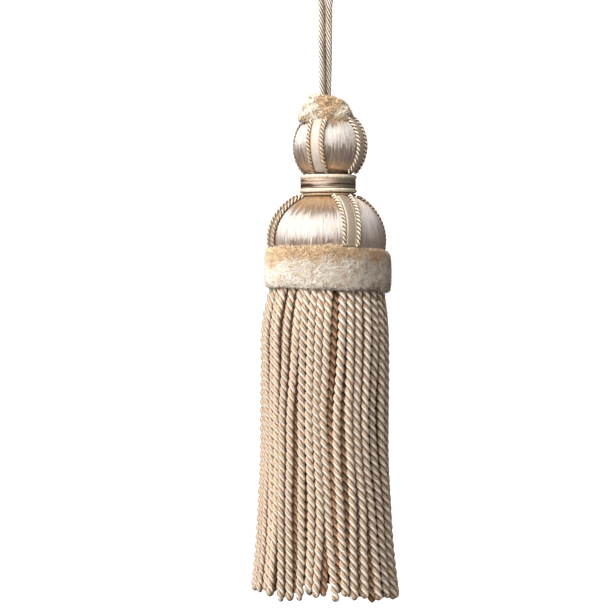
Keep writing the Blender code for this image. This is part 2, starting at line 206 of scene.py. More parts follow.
# Skirt: height and radius in mm of the line that the outer bullions' middles hang on
SKIRT_LINE = (
    (-99.0, 15.50),
    (-103.2, 15.90),
    (-105.6, 16.95),
    (-109.5, 17.90),
    (-121.0, 18.10),
    (-152.0, 18.20),
    (-164.0, 18.60),
    (-172.0, 19.10),
    (-180.0, 19.55),
    (-187.0, 20.25),
    (-196.0, 21.45),
)
FRONT_BULLIONS = (  # azimuth at each of BULLION_HEIGHTS, set back in mm, longer in mm
    (-90.0, -90.0, -90.0, -90.0, 0.0, 0.2),
    (-79.0, -79.0, -78.5, -78.0, 0.3, -0.3),
    (-68.0, -69.0, -67.5, -65.5, 0.0, 0.1),
    (-58.5, -60.0, -59.0, -58.0, 0.4, -0.6),
    (-50.5, -51.5, -51.0, -50.5, 0.0, 0.3),
    (-38.6, -43.5, -42.5, -38.5, 0.0, 0.8),
    (-27.7, -35.0, -33.4, -29.3, 0.0, 0.5),
    (-20.4, -22.9, -22.0, -21.0, 0.2, 0.7),
    (-12.9, -16.3, -12.3, -13.7, 0.4, -1.2),
    (-5.1, -8.6, -4.3, -7.3, 0.0, 0.2),
    (2.5, -2.4, 3.1, 8.4, 0.3, 1.0),
    (16.1, 10.0, 14.4, 16.1, 0.0, -0.6),
    (25.0, 21.5, 25.6, 24.0, 0.0, 0.4),
    (34.2, 29.9, 37.0, 34.0, 0.2, -0.2),
    (44.1, 39.2, 48.0, 47.7, 0.0, 0.3),
    (55.5, 50.2, 60.3, 58.7, 0.2, -0.6),
    (68.3, 64.3, 74.2, 72.9, 0.0, 0.2),
    (80.0, 78.0, 86.0, 86.0, 0.2, 0.0),
)
INNER_FRONT_BULLIONS = (  # the same for the inner row
    (-79.0, -80.0, -78.0, -77.0, 0.0, 0.2),
    (-68.0, -69.0, -67.0, -66.0, 0.2, 0.0),
    (-57.0, -60.0, -58.0, -57.0, 0.0, 0.3),
    (-48.0, -51.0, -50.0, -46.0, 0.1, 0.0),
    (-38.0, -42.5, -41.0, -37.0, 0.0, 0.2),
    (-29.4, -34.4, -31.6, -29.3, 0.0, -1.0),
    (-19.6, -22.5, -20.1, -14.6, 0.2, 0.2),
    (-10.4, -14.4, -9.4, -6.9, 0.0, 0.3),
    (-1.5, -6.0, -0.8, -1.3, 0.0, 0.5),
    (10.2, 3.3, 9.7, 12.4, -0.4, -0.8),
    (24.2, 18.4, 23.8, 22.8, 0.2, 0.2),
    (35.1, 29.9, 36.4, 33.5, 0.0, 0.0),
    (46.9, 40.6, 50.6, 47.1, 0.0, 1.6),
    (62.2, 53.6, 67.8, 67.0, 0.2, 0.3),
    (76.0, 70.0, 80.0, 80.0, 0.0, 0.0),
)
BULLION_HEIGHTS = (-112.5, -142.5, -172.5, -192.0)
HEM = (  # azimuth, height of the hem in mm
    (-180.0, -195.0),
    (-90.0, -193.6),
    (-60.0, -194.0),
    (-35.0, -195.9),
    (-10.0, -194.9),
    (25.0, -195.6),
    (60.0, -196.0),
    (90.0, -196.0),
    (180.0, -195.0),
)
SKIRT_TOP_DRIFT = 0.65 * MM  # the bullions' common axis, sideways, at the band and below it
SKIRT_DRIFT = -0.10 * MM
BULLION_TOP = -100.5  # height in mm of the bullions' upper ends, hidden by the band
BULLION_STEP = 1.5 * MM  # spacing of the points along a bullion
BULLION_PLACES = 29
BULLION_PLY = 0.28  # a ply's radius as a share of the bullion's width
BULLION_SWAY = ((0.14, 7.0), (0.08, 17.0))  # size in mm, radians over the length, sideways
BULLION_SWELL = ((0.15, 6.0), (0.08, 15.0))  # and outwards
LOOSENING = 6.0  # the waves are full after the first part in this many of the length
DRIFT_FADING = 12.0  # and the sideways drift at the band is gone after the first in this many
SET_BACK_RISE = 0.2  # mm that a row hangs shorter for each mm that it is set back
HEM_RISE = 0.8  # mm that the bullions' lines end above the hem, and more for the front ones
FRONT_HEM_RISE = 1.8
BACK_GAP = 8.0  # degrees from the front bullions to the first ones behind
BACK_SWAY = 1.6  # degrees that those sway to a side
BACK_SET_BACK = 0.4  # mm at most that they are set back, and longer or shorter
BACK_LONGER = 0.6

# Yarn: threads along a ply, where each ply's painted highlight line lies, and how the side with the strongest
# painted shade and painted highlight is turned
THREADS_IN_PLY = 3.6
FINE_THREADS_IN_PLY = 11.0
HIGHLIGHT_PLACE = 0.56  # radians round the ply from its crest to the painted highlight line, where the ply faces outwards
HIGHLIGHT_TURN = 0.22  # radians more for each radian that the ply faces aside
ROSY = (1.00, 0.95, 0.96)  # how a yarn's colour drifts along it
COOL = (0.97, 0.99, 0.93)
PAINTED_LIGHT_TURN = 0.36  # tangent of the angle by which the side with a cord's strongest painted groove shade and painted highlight is turned from straight out
LOOP_CLOSING = 0.018  # share of a looped cord's length that its end takes
LOOP_CROWD = 0.040  # share of the points that lie there

# Soft light: name, azimuth, degrees above the level, distance, side and colour
LAMPS = (
    ("key", -35.0, 35.0, 0.95, 1.05, (1.0, 0.985, 0.96)),
    ("fill", 28.0, 5.0, 1.2, 0.8, (1.0, 0.93, 0.87)),
)
LAMPS_AIM = -0.115  # height that the lamps face
SKY_COLOUR = (1.0, 0.90, 0.83)
ROOM_BEND = 0.8  # radius of the curve from the floor to the wall
ROOM_STEPS = 8  # rings of faces in that curve
ROOM_TURN = 6  # degrees round the room between points
ROOM_HOLE = 0.001  # radius of the holes at the middle of the floor and the roof


def tone(red, green, blue):
    """A colour given in 8-bit display values, as linear light."""
    shares = [value / 255.0 for value in (red, green, blue)]
    return tuple(s / 12.92 if s <= 0.04045 else ((s + 0.055) / 1.055) ** 2.4 for s in shares)


def solid(colour):
    return (*colour, 1.0)


def shifted(colour, shift):
    return tuple(channel * share for channel, share in zip(colour, shift))


def clamped(value):
    return min(1.0, max(0.0, value))


def span(node):
    """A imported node's lowest and highest corner."""
    low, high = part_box(node)
    return Vector(low), Vector(high)


def axis_of(node):
    """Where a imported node's upright axis lies, in x."""
    low, high = span(node)
    return (low.x + high.x) / 2


class Dome:
    """A turned mould: an ellipsoid round its axis, cut flat at its foot."""

    def __init__(self, node, centre_z, half_height):
        low, high = span(node)
        self.radius = (high.x - low.x) / 2
        self.half_height = half_height
        self.centre = Vector((axis_of(node), 0.0, centre_z))
        self.foot = low.z

    def place(self, down, azimuth):
        """A point on the dome and the direction out of it; down is in degrees from its top."""
        turn = math.radians(down)
        away = outward(azimuth)
        up = Vector((0.0, 0.0, 1.0))
        point = self.centre + away * self.radius * math.sin(turn) + up * self.half_height * math.cos(turn)
        normal = away * math.sin(turn) / self.radius + up * math.cos(turn) / self.half_height
        return point, normal.normalized()

    def down_to(self, z):
        return math.degrees(math.acos((z - self.centre.z) / self.half_height))


def outward(azimuth):
    """Unit vector away from the axis at an azimuth."""
    turn = math.radians(azimuth)
    return Vector((math.sin(turn), -math.cos(turn), 0.0))


BALL = Dome("ball", -60.45 * MM, 10.50 * MM)
BELL = Dome("bell", -88.50 * MM, 14.50 * MM)


def waved(place, waves):
    """The sum of a few waves, each given as its size, its pace and where it starts."""
    return sum(size * math.sin(pace * place + start) for size, pace, start in waves)


def read_table(table, column, value):
    """A column of a table, at a value of its first column."""
    rows = sorted(table)
    return float(np.interp(value, [row[0] for row in rows], [row[column] for row in rows]))


def read_round(table, column, azimuth):
    return read_table(table, column, (azimuth + 180.0) % 360.0 - 180.0)


def smooth_route(points, spacing):
    """Points at an even spacing along a smooth curve through the given ones."""
    route = np.array(points)
    padded = np.vstack([2 * route[0] - route[1], route, 2 * route[-1] - route[-2]])
    fine = []
    for before, start, end, after in zip(padded, padded[1:], padded[2:], padded[3:]):
        for t in np.linspace(0.0, 1.0, 16, endpoint=False):
            bend = 2 * before - 5 * start + 4 * end - after
            turn = 3 * start - before - 3 * end + after
            fine.append(0.5 * (2 * start + (end - before) * t + bend * t**2 + turn * t**3))
    fine.append(route[-1])
    fine = np.array(fine)
    along = np.concatenate([[0.0], np.cumsum(np.linalg.norm(np.diff(fine, axis=0), axis=1))])
    marks = np.linspace(0.0, along[-1], round(along[-1] / spacing) + 1)
    return np.column_stack([np.interp(marks, along, fine[:, axis]) for axis in range(3)])


# ---------------------------------------------------------------- nodes


class Wire:
    """A node's output, with the arithmetic that shader and geometry maths need."""

    def __init__(self, graph, socket):
        self.graph = graph
        self.socket = socket

    def maths(self, operation, *values):
        return self.graph.add("ShaderNodeMath", {"operation": operation}, dict(enumerate(values)))

    def also(self, name):
        """Another output of the same node."""
        return Wire(self.graph, find_socket(self.socket.node.outputs, name))

    def __add__(self, other):
        return self.maths("ADD", self, other)

    def __sub__(self, other):
        return self.maths("SUBTRACT", self, other)

    def __rsub__(self, other):
        return self.maths("SUBTRACT", other, self)

    def __mul__(self, other):
        return self.maths("MULTIPLY", self, other)

    def __truediv__(self, other):
        return self.maths("DIVIDE", self, other)

    def __rtruediv__(self, other):
        return self.maths("DIVIDE", other, self)

    def __pow__(self, other):
        return self.maths("POWER", self, other)

    def __gt__(self, other):
        return self.maths("GREATER_THAN", self, other)

    def __abs__(self):
        return self.maths("ABSOLUTE", self)

    def __floor__(self):
        return self.maths("FLOOR", self)

    __radd__ = __add__
    __rmul__ = __mul__

    def sine(self):
        return self.maths("SINE", self)

    def cosine(self):
        return self.maths("COSINE", self)

    def at_least(self, other):
        return self.maths("MAXIMUM", self, other)

    def at_most(self, other):
        return self.maths("MINIMUM", self, other)

    def ease(self, low, high):
        """0 below low, 1 above high and smooth between them."""
        ends = {"Value": self, "From Min": low, "From Max": high}
        return self.graph.add("ShaderNodeMapRange", {"interpolation_type": "SMOOTHSTEP"}, ends)


def find_socket(sockets, key):
    if isinstance(key, int):
        return sockets[key]
    return next(socket for socket in sockets if socket.enabled and socket.name == key)


class Graph:
    """A node tree that is written as calls."""

    def __init__(self, tree):
        self.tree = tree
        self.given = {}

    def add(self, kind, settings=None, inputs=None, output=None):
        """A node's output; the settings come first, then its sockets' values or wires."""
        node = self.tree.nodes.new(kind)
        for name, value in (settings or {}).items():
            setattr(node, name, value)
        for key, value in (inputs or {}).items():
            socket = find_socket(node.inputs, key)
            if isinstance(value, Wire):
                self.tree.links.new(value.socket, socket)
            else:
                socket.default_value = value
        if output is None:
            return Wire(self, next(socket for socket in node.outputs if socket.enabled))
        return Wire(self, find_socket(node.outputs, output))

    def vector(self, operation, *values):
        return self.add("ShaderNodeVectorMath", {"operation": operation}, dict(enumerate(values)))

    def scaled(self, vector, size):
        return self.add("ShaderNodeVectorMath", {"operation": "SCALE"}, {0: vector, "Scale": size})

    def joined(self, x, y, z):
        return self.add("ShaderNodeCombineXYZ", None, {"X": x, "Y": y, "Z": z})

    def parts(self, vector):
        wire = self.add("ShaderNodeSeparateXYZ", None, {0: vector})
        return wire, wire.also("Y"), wire.also("Z")

    def angle(self, y, x):
        return self.add("ShaderNodeMath", {"operation": "ARCTAN2"}, {0: y, 1: x})

    def random(self, inputs, kind="FLOAT"):
        return self.add("FunctionNodeRandomValue", {"data_type": kind}, inputs)

    def mix(self, share, first, second, blend="MIX"):
        settings = {"data_type": "RGBA", "blend_type": blend}
        return self.add("ShaderNodeMix", settings, {"Factor": share, "A": first, "B": second})

    def dimmed(self, colour, value):
        """A colour times a value."""
        return self.mix(1.0, colour, self.joined(value, value, value), "MULTIPLY")

    def noise(self, vector, scale, detail=2.0):
        return self.add("ShaderNodeTexNoise", None, {"Vector": vector, "Scale": scale, "Detail": detail})

    def stored(self, name, kind="FLOAT"):
        return self.add("GeometryNodeInputNamedAttribute", {"data_type": kind}, {"Name": name})

    def store(self, geometry, name, value, kind="FLOAT", domain="POINT"):
        settings = {"data_type": kind, "domain": domain}
        return self.add(
            "GeometryNodeStoreNamedAttribute",
            settings,
            {"Geometry": geometry, "Name": name, "Value": value},
        )


SOCKET_KINDS = {
    "geometry": "NodeSocketGeometry",
    "whole": "NodeSocketInt",
    "number": "NodeSocketFloat",
    "vector": "NodeSocketVector",
    "material": "NodeSocketMaterial",
}


def geometry_graph(name, **inputs):
    """A geometry node tree with named inputs, listed by their kind, and a Material."""
    tree = bpy.data.node_groups.new(name, "GeometryNodeTree")
    for kind, labels in {**inputs, "material": "Material"}.items():
        for label in labels.split(", "):
            tree.interface.new_socket(label, in_out="INPUT", socket_type=SOCKET_KINDS[kind])
    tree.interface.new_socket("Geometry", in_out="OUTPUT", socket_type=SOCKET_KINDS["geometry"])
    graph = Graph(tree)
    group_input = tree.nodes.new("NodeGroupInput")
    graph.given = {s.name: Wire(graph, s) for s in group_input.outputs if s.name}
    return graph


def close_graph(graph, geometry):
    """Every tree ends in plain geometry with its material on."""
    smooth = graph.add("GeometryNodeSetShadeSmooth", None, {"Geometry": geometry})
    real = graph.add("GeometryNodeRealizeInstances", None, {"Geometry": smooth})
    finished = graph.add(
        "GeometryNodeSetMaterial", None, {"Geometry": real, "Material": graph.given["Material"]}
    )
    output = graph.tree.nodes.new("NodeGroupOutput")
    graph.tree.links.new(finished.socket, output.inputs[0])


def grown(name, tree, source, material, **sizes):
    """The plain piece that a tree makes of a mesh; a size's name has _ for each space."""
    holder = bpy.data.objects.new(name + "_source", source)
    bpy.context.scene.collection.objects.link(holder)
    modifier = holder.modifiers.new("grow", "NODES")
    modifier.node_group = tree
    values = {key.replace("_", " ").title(): value for key, value in sizes.items()}
    values["Material"] = material
    for item in tree.interface.items_tree:
        if item.in_out == "INPUT" and item.name in values:
            modifier[item.identifier] = values.pop(item.name)
    if values:
        raise ValueError(f"{tree.name} has no input {sorted(values)}")
    evaluated = holder.evaluated_get(bpy.context.evaluated_depsgraph_get())
    mesh = bpy.data.meshes.new_from_object(evaluated)
    bpy.data.objects.remove(holder, do_unlink=True)
    bpy.data.meshes.remove(source)
    return add_piece(name, mesh)


def add_piece(name, mesh, finish=None):
    piece = bpy.data.objects.new(name, mesh)
    bpy.context.scene.collection.objects.link(piece)
    if finish is not None:
        mesh.materials.append(finish)
    if len(mesh.polygons) == 0:
        raise ValueError(f"{name} came out empty")
    return piece


def plied(name, routes, finish, diameter, ply, pitch, **sizes):
    """Cords along the routes, of plies of one radius, turned one way."""
    tree = bpy.data.node_groups["Plied cord"]
    sizes.update({"pitch": -pitch, "turn_radius": diameter / 2 - ply, "ply_radius": ply})
    return grown(name, tree, lines_mesh(name + "_lines", routes), finish, **sizes)


def piled(name, skin, finish, settings, lean, seed):
    """Pile on a skin, which is used up."""
    pile = grown(
        name,
        bpy.data.node_groups["Velvet pile"],
        skin,
        finish,
        spacing=settings.pile_spacing,
        most=PILE_LIMIT,
        height=settings.pile_height,
        width=settings.pile_width,
        lean=lean,
        seed=seed,
    )
    keep(pile, "velvet")
    return pile


def keep(piece, slot, *nodes):
    """The piece hangs with the tassel and stands for nodes, which are hidden; the slot is not used."""
    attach(piece, BODY)
    if nodes:
        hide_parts(*nodes)


def lines_mesh(name, routes):
    """A mesh of one chain of edges for each route of points."""
    vertices, edges = [], []
    for route in routes:
        first = len(vertices)
        vertices.extend(tuple(point) for point in route)
        edges.extend((first + i, first + i + 1) for i in range(len(route) - 1))
    mesh = bpy.data.meshes.new(name)
    mesh.from_pydata(vertices, edges, [])
    return mesh


def surface_mesh(name, rings, closed_rings=True):
    """A skin over rings of points, each joined to the next and the last to the first."""
    count = len(rings[0])
    vertices = [tuple(point) for ring in rings for point in ring]
    faces = []
    for r in range(len(rings)):
        here, there = r * count, (r + 1) % len(rings) * count
        for c in range(count if closed_rings else count - 1):
            beside = (c + 1) % count
            faces.append((here + c, there + c, there + beside, here + beside))
    mesh = bpy.data.meshes.new(name)
    mesh.from_pydata(vertices, [], faces)
    mesh.shade_smooth()
    return mesh


# ---------------------------------------------------------------- trees


def plied_tree():
    """Plies turned round each line; looped plies close on each other at the line's end."""
    graph = geometry_graph(
        "Plied cord",
        geometry="Lines",
        whole="Points, Plies, Sides, Seed",
        number="Pitch, Slackening, Turn Radius, Ply Radius, Looped, Phases, Facing",
    )
    given = graph.given
    line = graph.add("GeometryNodeMeshToCurve", None, {"Mesh": given["Lines"]})
    even = graph.add("GeometryNodeResampleCurve", None, {"Curve": line, "Count": given["Points"]})
    amount = {"Geometry": even, "Amount": given["Plies"]}
    plies = graph.add("GeometryNodeDuplicateElements", {"domain": "SPLINE"}, amount)
    ply = plies.also("Duplicate Index")
    length = graph.add("GeometryNodeSplineLength")
    share = graph.add("GeometryNodeSplineParameter", None, None, "Factor")
    point_index = graph.add("GeometryNodeInputIndex")
    number = graph.add("GeometryNodeCurveOfPoint", None, {"Point Index": point_index}, "Curve Index")
    line_number = math.floor((number + 0.5) / given["Plies"])

    # Most points lie evenly, and the last few crowd into the loop at the end
    turn_radius = given["Turn Radius"]
    closing = given["Looped"] * LOOP_CLOSING
    crowd = given["Looped"] * LOOP_CROWD
    crowded = 1.0 - (1.0 - share) * ((closing + TINY) / (crowd + TINY))
    even_share = (share * ((1.0 - closing) / (1.0 - crowd))).at_most(crowded)
    reach = turn_radius * given["Looped"]
    travelled = even_share * (length + reach * (math.pi / 2 - 1))
    straight = length - reach
    bend = ((travelled - straight) / turn_radius).at_least(0.0)
    down = travelled.at_most(straight) + turn_radius * bend.sine()
    away = turn_radius * bend.cosine()

    middle = graph.add(
        "GeometryNodeSampleCurve",
        {"mode": "LENGTH"},
        {"Curves": even, "Length": down, "Curve Index": line_number},
        "Position",
    )
    normal, tangent = middle.also("Normal"), middle.also("Tangent")
    phase = graph.random({"Max": given["Phases"], "ID": line_number, "Seed": given["Seed"]})
    turns = down / given["Pitch"] * (1.0 - given["Slackening"] * down / length)
    turn = (turns + ply / given["Plies"] + phase) * math.tau
    across = graph.vector("CROSS_PRODUCT", tangent, normal)
    from_line = graph.vector(
        "ADD", graph.scaled(normal, turn.cosine()), graph.scaled(across, turn.sine())
    )
    outside = graph.vector(
        "ADD", graph.scaled(from_line, bend.cosine()), graph.scaled(tangent, bend.sine())
    )
    x, y, _ = graph.parts(middle)
    ahead = graph.vector("DOT_PRODUCT", outside, graph.joined(x, y, 0.0)).also("Value")
    aside = graph.vector("DOT_PRODUCT", outside, graph.joined(y * -1.0, x, 0.0)).also("Value")
    facing = graph.angle(aside, ahead)
    plies = graph.store(plies, "facing", facing * given["Facing"])
    plies = graph.store(plies, "axis", middle, "FLOAT_VECTOR")
    plies = graph.store(plies, "outside", outside, "FLOAT_VECTOR")
    place = graph.vector("ADD", middle, graph.scaled(from_line, away))
    plies = graph.store(plies, "place", place, "FLOAT_VECTOR")
    plies = graph.store(plies, "along", travelled)
    plies = graph.store(plies, "ply", ply + TINY)
    plies = graph.store(plies, "line", line_number + TINY)
    position = {"Geometry": plies, "Position": graph.stored("place", "FLOAT_VECTOR")}
    placed = graph.add("GeometryNodeSetPosition", None, position)
    normals = {"Curve": placed, "Normal": graph.stored("outside", "FLOAT_VECTOR")}
    placed = graph.add("GeometryNodeSetCurveNormal", {"mode": "FREE"}, normals)
    size = {"Resolution": given["Sides"], "Radius": given["Ply Radius"]}
    ring = graph.add("GeometryNodeCurvePrimitiveCircle", None, size)
    ring_place = graph.scaled(graph.add("GeometryNodeInputPosition"), 1.0 / given["Ply Radius"])
    ring = graph.store(ring, "ring", ring_place, "FLOAT_VECTOR")
    tubes = graph.add(
        "GeometryNodeCurveToMesh", None, {"Curve": placed, "Profile Curve": ring, "Fill Caps": True}
    )
    axis = graph.stored("axis", "FLOAT_VECTOR")
    from_axis = graph.vector("SUBTRACT", graph.add("GeometryNodeInputPosition"), axis)
    x, y, _ = graph.parts(axis)
    # The side turned a little from straight out gets the yarn finish's strongest painted groove shade and
    # painted highlight, through the stored front.
    outwards = graph.vector("NORMALIZE", graph.joined(x + y * PAINTED_LIGHT_TURN, y - x * PAINTED_LIGHT_TURN, 0.0))
    front = graph.vector("DOT_PRODUCT", graph.vector("NORMALIZE", from_axis), outwards).also("Value")
    depth = graph.vector("LENGTH", from_axis).also("Value") / (turn_radius + given["Ply Radius"])
    tubes = graph.store(tubes, "crown", depth)
    tubes = graph.store(tubes, "front", front * given["Facing"] + 1.0 - given["Facing"])
    for name in ("axis", "outside", "place"):
        tubes = graph.add("GeometryNodeRemoveAttribute", None, {"Geometry": tubes, "Name": name})
    close_graph(graph, tubes)


def wound_tree():
    """A dome wound with threads that run from its top to its foot."""
    graph = geometry_graph(
        "Wound mould",
        vector="Centre",
        whole="Threads, Rows, Seed",
        number="Radius, Half Height, Last Angle, Relief, Unevenness, Wander",
    )
    given = graph.given
    sheet = graph.add(
        "GeometryNodeMeshGrid",
        None,
        {
            "Size X": 1.0,
            "Size Y": 1.0,
            "Vertices X": given["Threads"] * THREAD_COLUMNS + 1.0,
            "Vertices Y": given["Rows"],
        },
    )
    x, y, _ = graph.parts(graph.add("GeometryNodeInputPosition"))
    round_share, down_share = x + 0.5, y + 0.5
    thread_place = round_share * given["Threads"]
    thread = math.floor(thread_place + 0.01)
    rows = given["Rows"]
    angle = (down_share * ((rows - 1.0) / (rows - 2.0))).at_most(1.0) * given["Last Angle"]
    open_part = 1.0 - (down_share > 1.0 - 0.5 / rows)

    whole_turn = round_share * math.tau
    spread = given["Threads"] * 0.06
    drift = graph.noise(
        graph.joined(whole_turn.sine() * spread, whole_turn.cosine() * spread, down_share * 2.5), 1.0
    )
    azimuth = (0.5 - round_share) * math.tau + (drift - 0.5) * given["Wander"] / given["Threads"]
    level = graph.random({"ID": thread, "Seed": given["Seed"]})
    ridge = abs((thread_place * math.pi).sine()) ** 0.8
    below_pole = down_share > 0.5 / rows
    lift = ridge * (level * given["Unevenness"] + given["Relief"]) * below_pole
    flat = angle.sine() / given["Radius"]
    rise = angle.cosine() / given["Half Height"]
    size = (flat * flat + rise * rise) ** 0.5
    radius = (angle.sine() * given["Radius"] + lift * flat / size) * open_part
    height = angle.cosine() * given["Half Height"] + lift * rise / size * open_part
    place = graph.joined(azimuth.sine() * radius, azimuth.cosine() * radius * -1.0, height)
    slope = graph.joined(
        azimuth.sine() * angle.cosine() * given["Radius"],
        azimuth.cosine() * angle.cosine() * given["Radius"] * -1.0,
        angle.sine() * given["Half Height"] * -1.0,
    )
    place = graph.vector("ADD", place, given["Centre"])
    sheet = graph.store(sheet, "slope", graph.vector("NORMALIZE", slope), "FLOAT_VECTOR")
    sheet = graph.store(sheet, "thread", level)
    sheet = graph.store(sheet, "round", thread_place)
    sheet = graph.store(sheet, "down", angle)
    wound = graph.add("GeometryNodeSetPosition", None, {"Geometry": sheet, "Position": place})
    wound = graph.add("GeometryNodeMergeByDistance", None, {"Geometry": wound, "Distance": TINY})
    close_graph(graph, wound)


def pile_tree():
    """Short pointed tufts of pile, standing on a cloth."""
    graph = geometry_graph(
        "Velvet pile", geometry="Cloth", whole="Seed", number="Spacing, Most, Height, Width, Lean"
    )
    given = graph.given
    points = graph.add(
        "GeometryNodeDistributePointsOnFaces",
        {"distribute_method": "POISSON"},
        {
            "Mesh": given["Cloth"],
            "Distance Min": given["Spacing"],
            "Density Max": given["Most"],
            "Seed": given["Seed"],
        },
    )
    upright, lie = points.also("Rotation"), points.also("Normal")
    tuft = graph.add(
        "GeometryNodeMeshCone",
        {"fill_type": "NGON"},
        {
            "Vertices": 4,
            "Radius Top": 0.0,
            "Radius Bottom": given["Width"],
            "Depth": given["Height"],
        },
    )
    _, _, tip = graph.parts(graph.add("GeometryNodeInputPosition"))
    tuft = graph.store(tuft, "tip", tip / given["Height"])
    least = graph.joined(given["Lean"] * -1.0, given["Lean"] * -1.0, -math.pi)
    most = graph.joined(given["Lean"], given["Lean"], math.pi)
    lean = graph.random({"Min": least, "Max": most, "Seed": given["Seed"]}, "FLOAT_VECTOR")
    leaning = graph.add(
        "FunctionNodeRotateRotation",
        {"rotation_space": "LOCAL"},
        {"Rotation": upright, "Rotate By": graph.add("FunctionNodeEulerToRotation", None, {"Euler": lean})},
    )
    size = graph.random({"Min": 0.65, "Max": 1.15, "Seed": given["Seed"] + 1.0})
    shade = graph.random({"Seed": given["Seed"] + 2.0})
    points = graph.store(points, "shade", shade)
    points = graph.store(points, "lie", lie, "FLOAT_VECTOR")
    pile = graph.add(
        "GeometryNodeInstanceOnPoints",
        None,
        {"Points": points, "Instance": tuft, "Rotation": leaning, "Scale": graph.joined(size, size, size)},
    )
    close_graph(graph, pile)


# ---------------------------------------------------------------- finishes


def new_finish(name):
    material = bpy.data.materials.new(name)
    material.use_nodes = True
    material.node_tree.nodes.clear()
    return material, Graph(material.node_tree)


def close_finish(graph, sockets, normal=None):
    if normal is not None:
        sockets = {**sockets, "Normal": normal}
    shader = graph.add("ShaderNodeBsdfPrincipled", None, sockets)
    output = graph.tree.nodes.new("ShaderNodeOutputMaterial")
    graph.tree.links.new(shader.socket, output.inputs["Surface"])


def attribute(graph, name):
    return graph.add("ShaderNodeAttribute", {"attribute_name": name}, None, "Fac")


def attribute_vector(graph, name):
    return graph.add("ShaderNodeAttribute", {"attribute_name": name}, None, "Vector")


def bump(graph, height, distance, strength=1.0):
    return graph.add(
        "ShaderNodeBump", None, {"Strength": strength, "Distance": distance, "Height": height}
    )


def tilted(graph, direction, share):
    """The surface's normal, leant towards a direction."""
    normal = graph.add("ShaderNodeNewGeometry", None, None, "Normal")
    return graph.vector("NORMALIZE", graph.vector("ADD", normal, graph.scaled(direction, share)))


def yarn_finish(name, light, deep, highlight_colour, roughness, groove=(0.45, 0.80), second=None, contrast=0.62):
    """Plied yarn: fine threads lie along each ply, with a painted highlight line along each ply and painted
    shade in the grooves, both strongest on one side of each ply, turned a little from straight out.
    """
    material, graph = new_finish(name)
    crown = attribute(graph, "crown")
    along = attribute(graph, "along") / MM
    x, y, _ = graph.parts(attribute_vector(graph, "ring"))
    round_ply = graph.angle(y, x)
    line = attribute(graph, "line")
    ply = attribute(graph, "ply")
    fray = graph.noise(graph.joined(along * 1.4, round_ply * 0.8, line * 7.3), 1.0, 3.0)
    per_line = graph.noise(graph.joined(line * 3.1, along * 0.02, 0.0), 1.0, 0.0)
    tint = graph.noise(graph.joined(along * 0.30, line * 5.1, ply * 3.3), 1.0, 2.0)
    # Where the painted highlight line lies round each ply; it turns with the ply's facing.
    turned = attribute(graph, "facing") * HIGHLIGHT_TURN + HIGHLIGHT_PLACE
    from_highlight = round_ply - turned + (fray - 0.5) * 0.4
    fine = (from_highlight * FINE_THREADS_IN_PLY).cosine() * 0.16
    strand = (from_highlight * THREADS_IN_PLY).cosine() * 0.34 + fine + 0.5
    body = graph.mix(tint.ease(0.35, 0.65), solid(shifted(light, ROSY)), solid(shifted(light, COOL)))
    if second is not None:
        body = graph.mix(ply > 3.5, body, solid(second))
    # Painted highlight: a bright line along each ply.
    bright = 1.0 - abs(from_highlight).ease(0.34, 0.76)
    value = strand * contrast + (fray - 0.5) * 0.7 + (per_line - 0.5) * 0.6 + 1.03 - contrast / 2
    # The painted shade and painted highlight are strongest on the side turned a little from straight out.
    painted_light_side = attribute(graph, "front").ease(-0.40, 0.22)
    surface = graph.dimmed(body, value)
    # Painted shade in the grooves between the plies, in the deep colour.
    surface = graph.mix(crown.ease(*groove) * (painted_light_side * 0.85 + 0.15), solid(deep), surface)
    # Painted highlight line, in the highlight colour.
    surface = graph.mix(bright * (painted_light_side * 0.75 + 0.25), surface, solid(highlight_colour))
    relief = bump(graph, strand * 0.8 + fray * 0.4 + bright * 0.6, 0.05 * MM, 0.8)
    close_finish(
        graph,
        {
            "Base Color": surface,
            "Roughness": roughness,
            "Sheen Weight": 0.2,
            "Sheen Roughness": 0.45,
            "IOR": 1.5,
        },
        relief,
    )
    return material


def satin_finish(name, light, deep, warm):
    """Satin floss: fine fibres side by side, each with its own lean and tone, with a painted warm reflection
    towards the top and the foot, a painted lighter foot and painted shade where it runs in at the ends.
    """
    material, graph = new_finish(name)
    thread = attribute(graph, "thread")
    round_mould = attribute(graph, "round")
    down = attribute(graph, "down")
    fine = graph.noise(graph.joined(round_mould * 0.80, down * 3.0, 0.0), 1.0, 2.0)
    broad = graph.noise(graph.joined(round_mould * 0.16, down * 0.9, 6.0), 1.0, 2.0)
    fibres = graph.noise(graph.joined(round_mould * 1.00, down * 2.6, 3.0), 1.0, 2.0)
    share = (thread * 0.20 + fine * 0.50 + broad * 0.30).ease(0.38, 0.62)
    surface = graph.mix(share, solid(deep), solid(light))
    # Painted reflection: a warm tint towards the top and the foot.
    top, foot = 1.0 - down.ease(0.72, 1.05), down.ease(1.95, 2.25)
    ends = top * 0.75 + foot * 0.8
    surface = graph.mix(ends * (broad.ease(0.3, 0.7) * 0.4 + 0.6), surface, solid(warm))
    # Tone from the fine streaks, and painted light that lightens the foot as if lit from below.
    shade = fine.ease(0.30, 0.70) * 0.40 + 0.68 + foot * 0.50
    surface = graph.dimmed(surface, shade)
    # Painted shade: near black where the mould runs in at its top and its foot.
    crevice = down + (fine - 0.5) * 0.5
    shadow = crevice.ease(2.33, 2.42) + (1.0 - crevice.ease(0.46, 0.60))
    surface = graph.mix(shadow * 0.92, surface, solid(tone(*CREVICE_SHADE)))
    lean = (fibres - 0.5) * 0.76 + (broad - 0.5) * 0.22
    close_finish(
        graph,
        {
            "Base Color": surface,
            "Roughness": fine * 0.30 + 0.34,
            "Anisotropic": 1.0,
            "IOR": 5.0,
        },
        tilted(graph, attribute_vector(graph, "slope"), lean),
    )
    return material


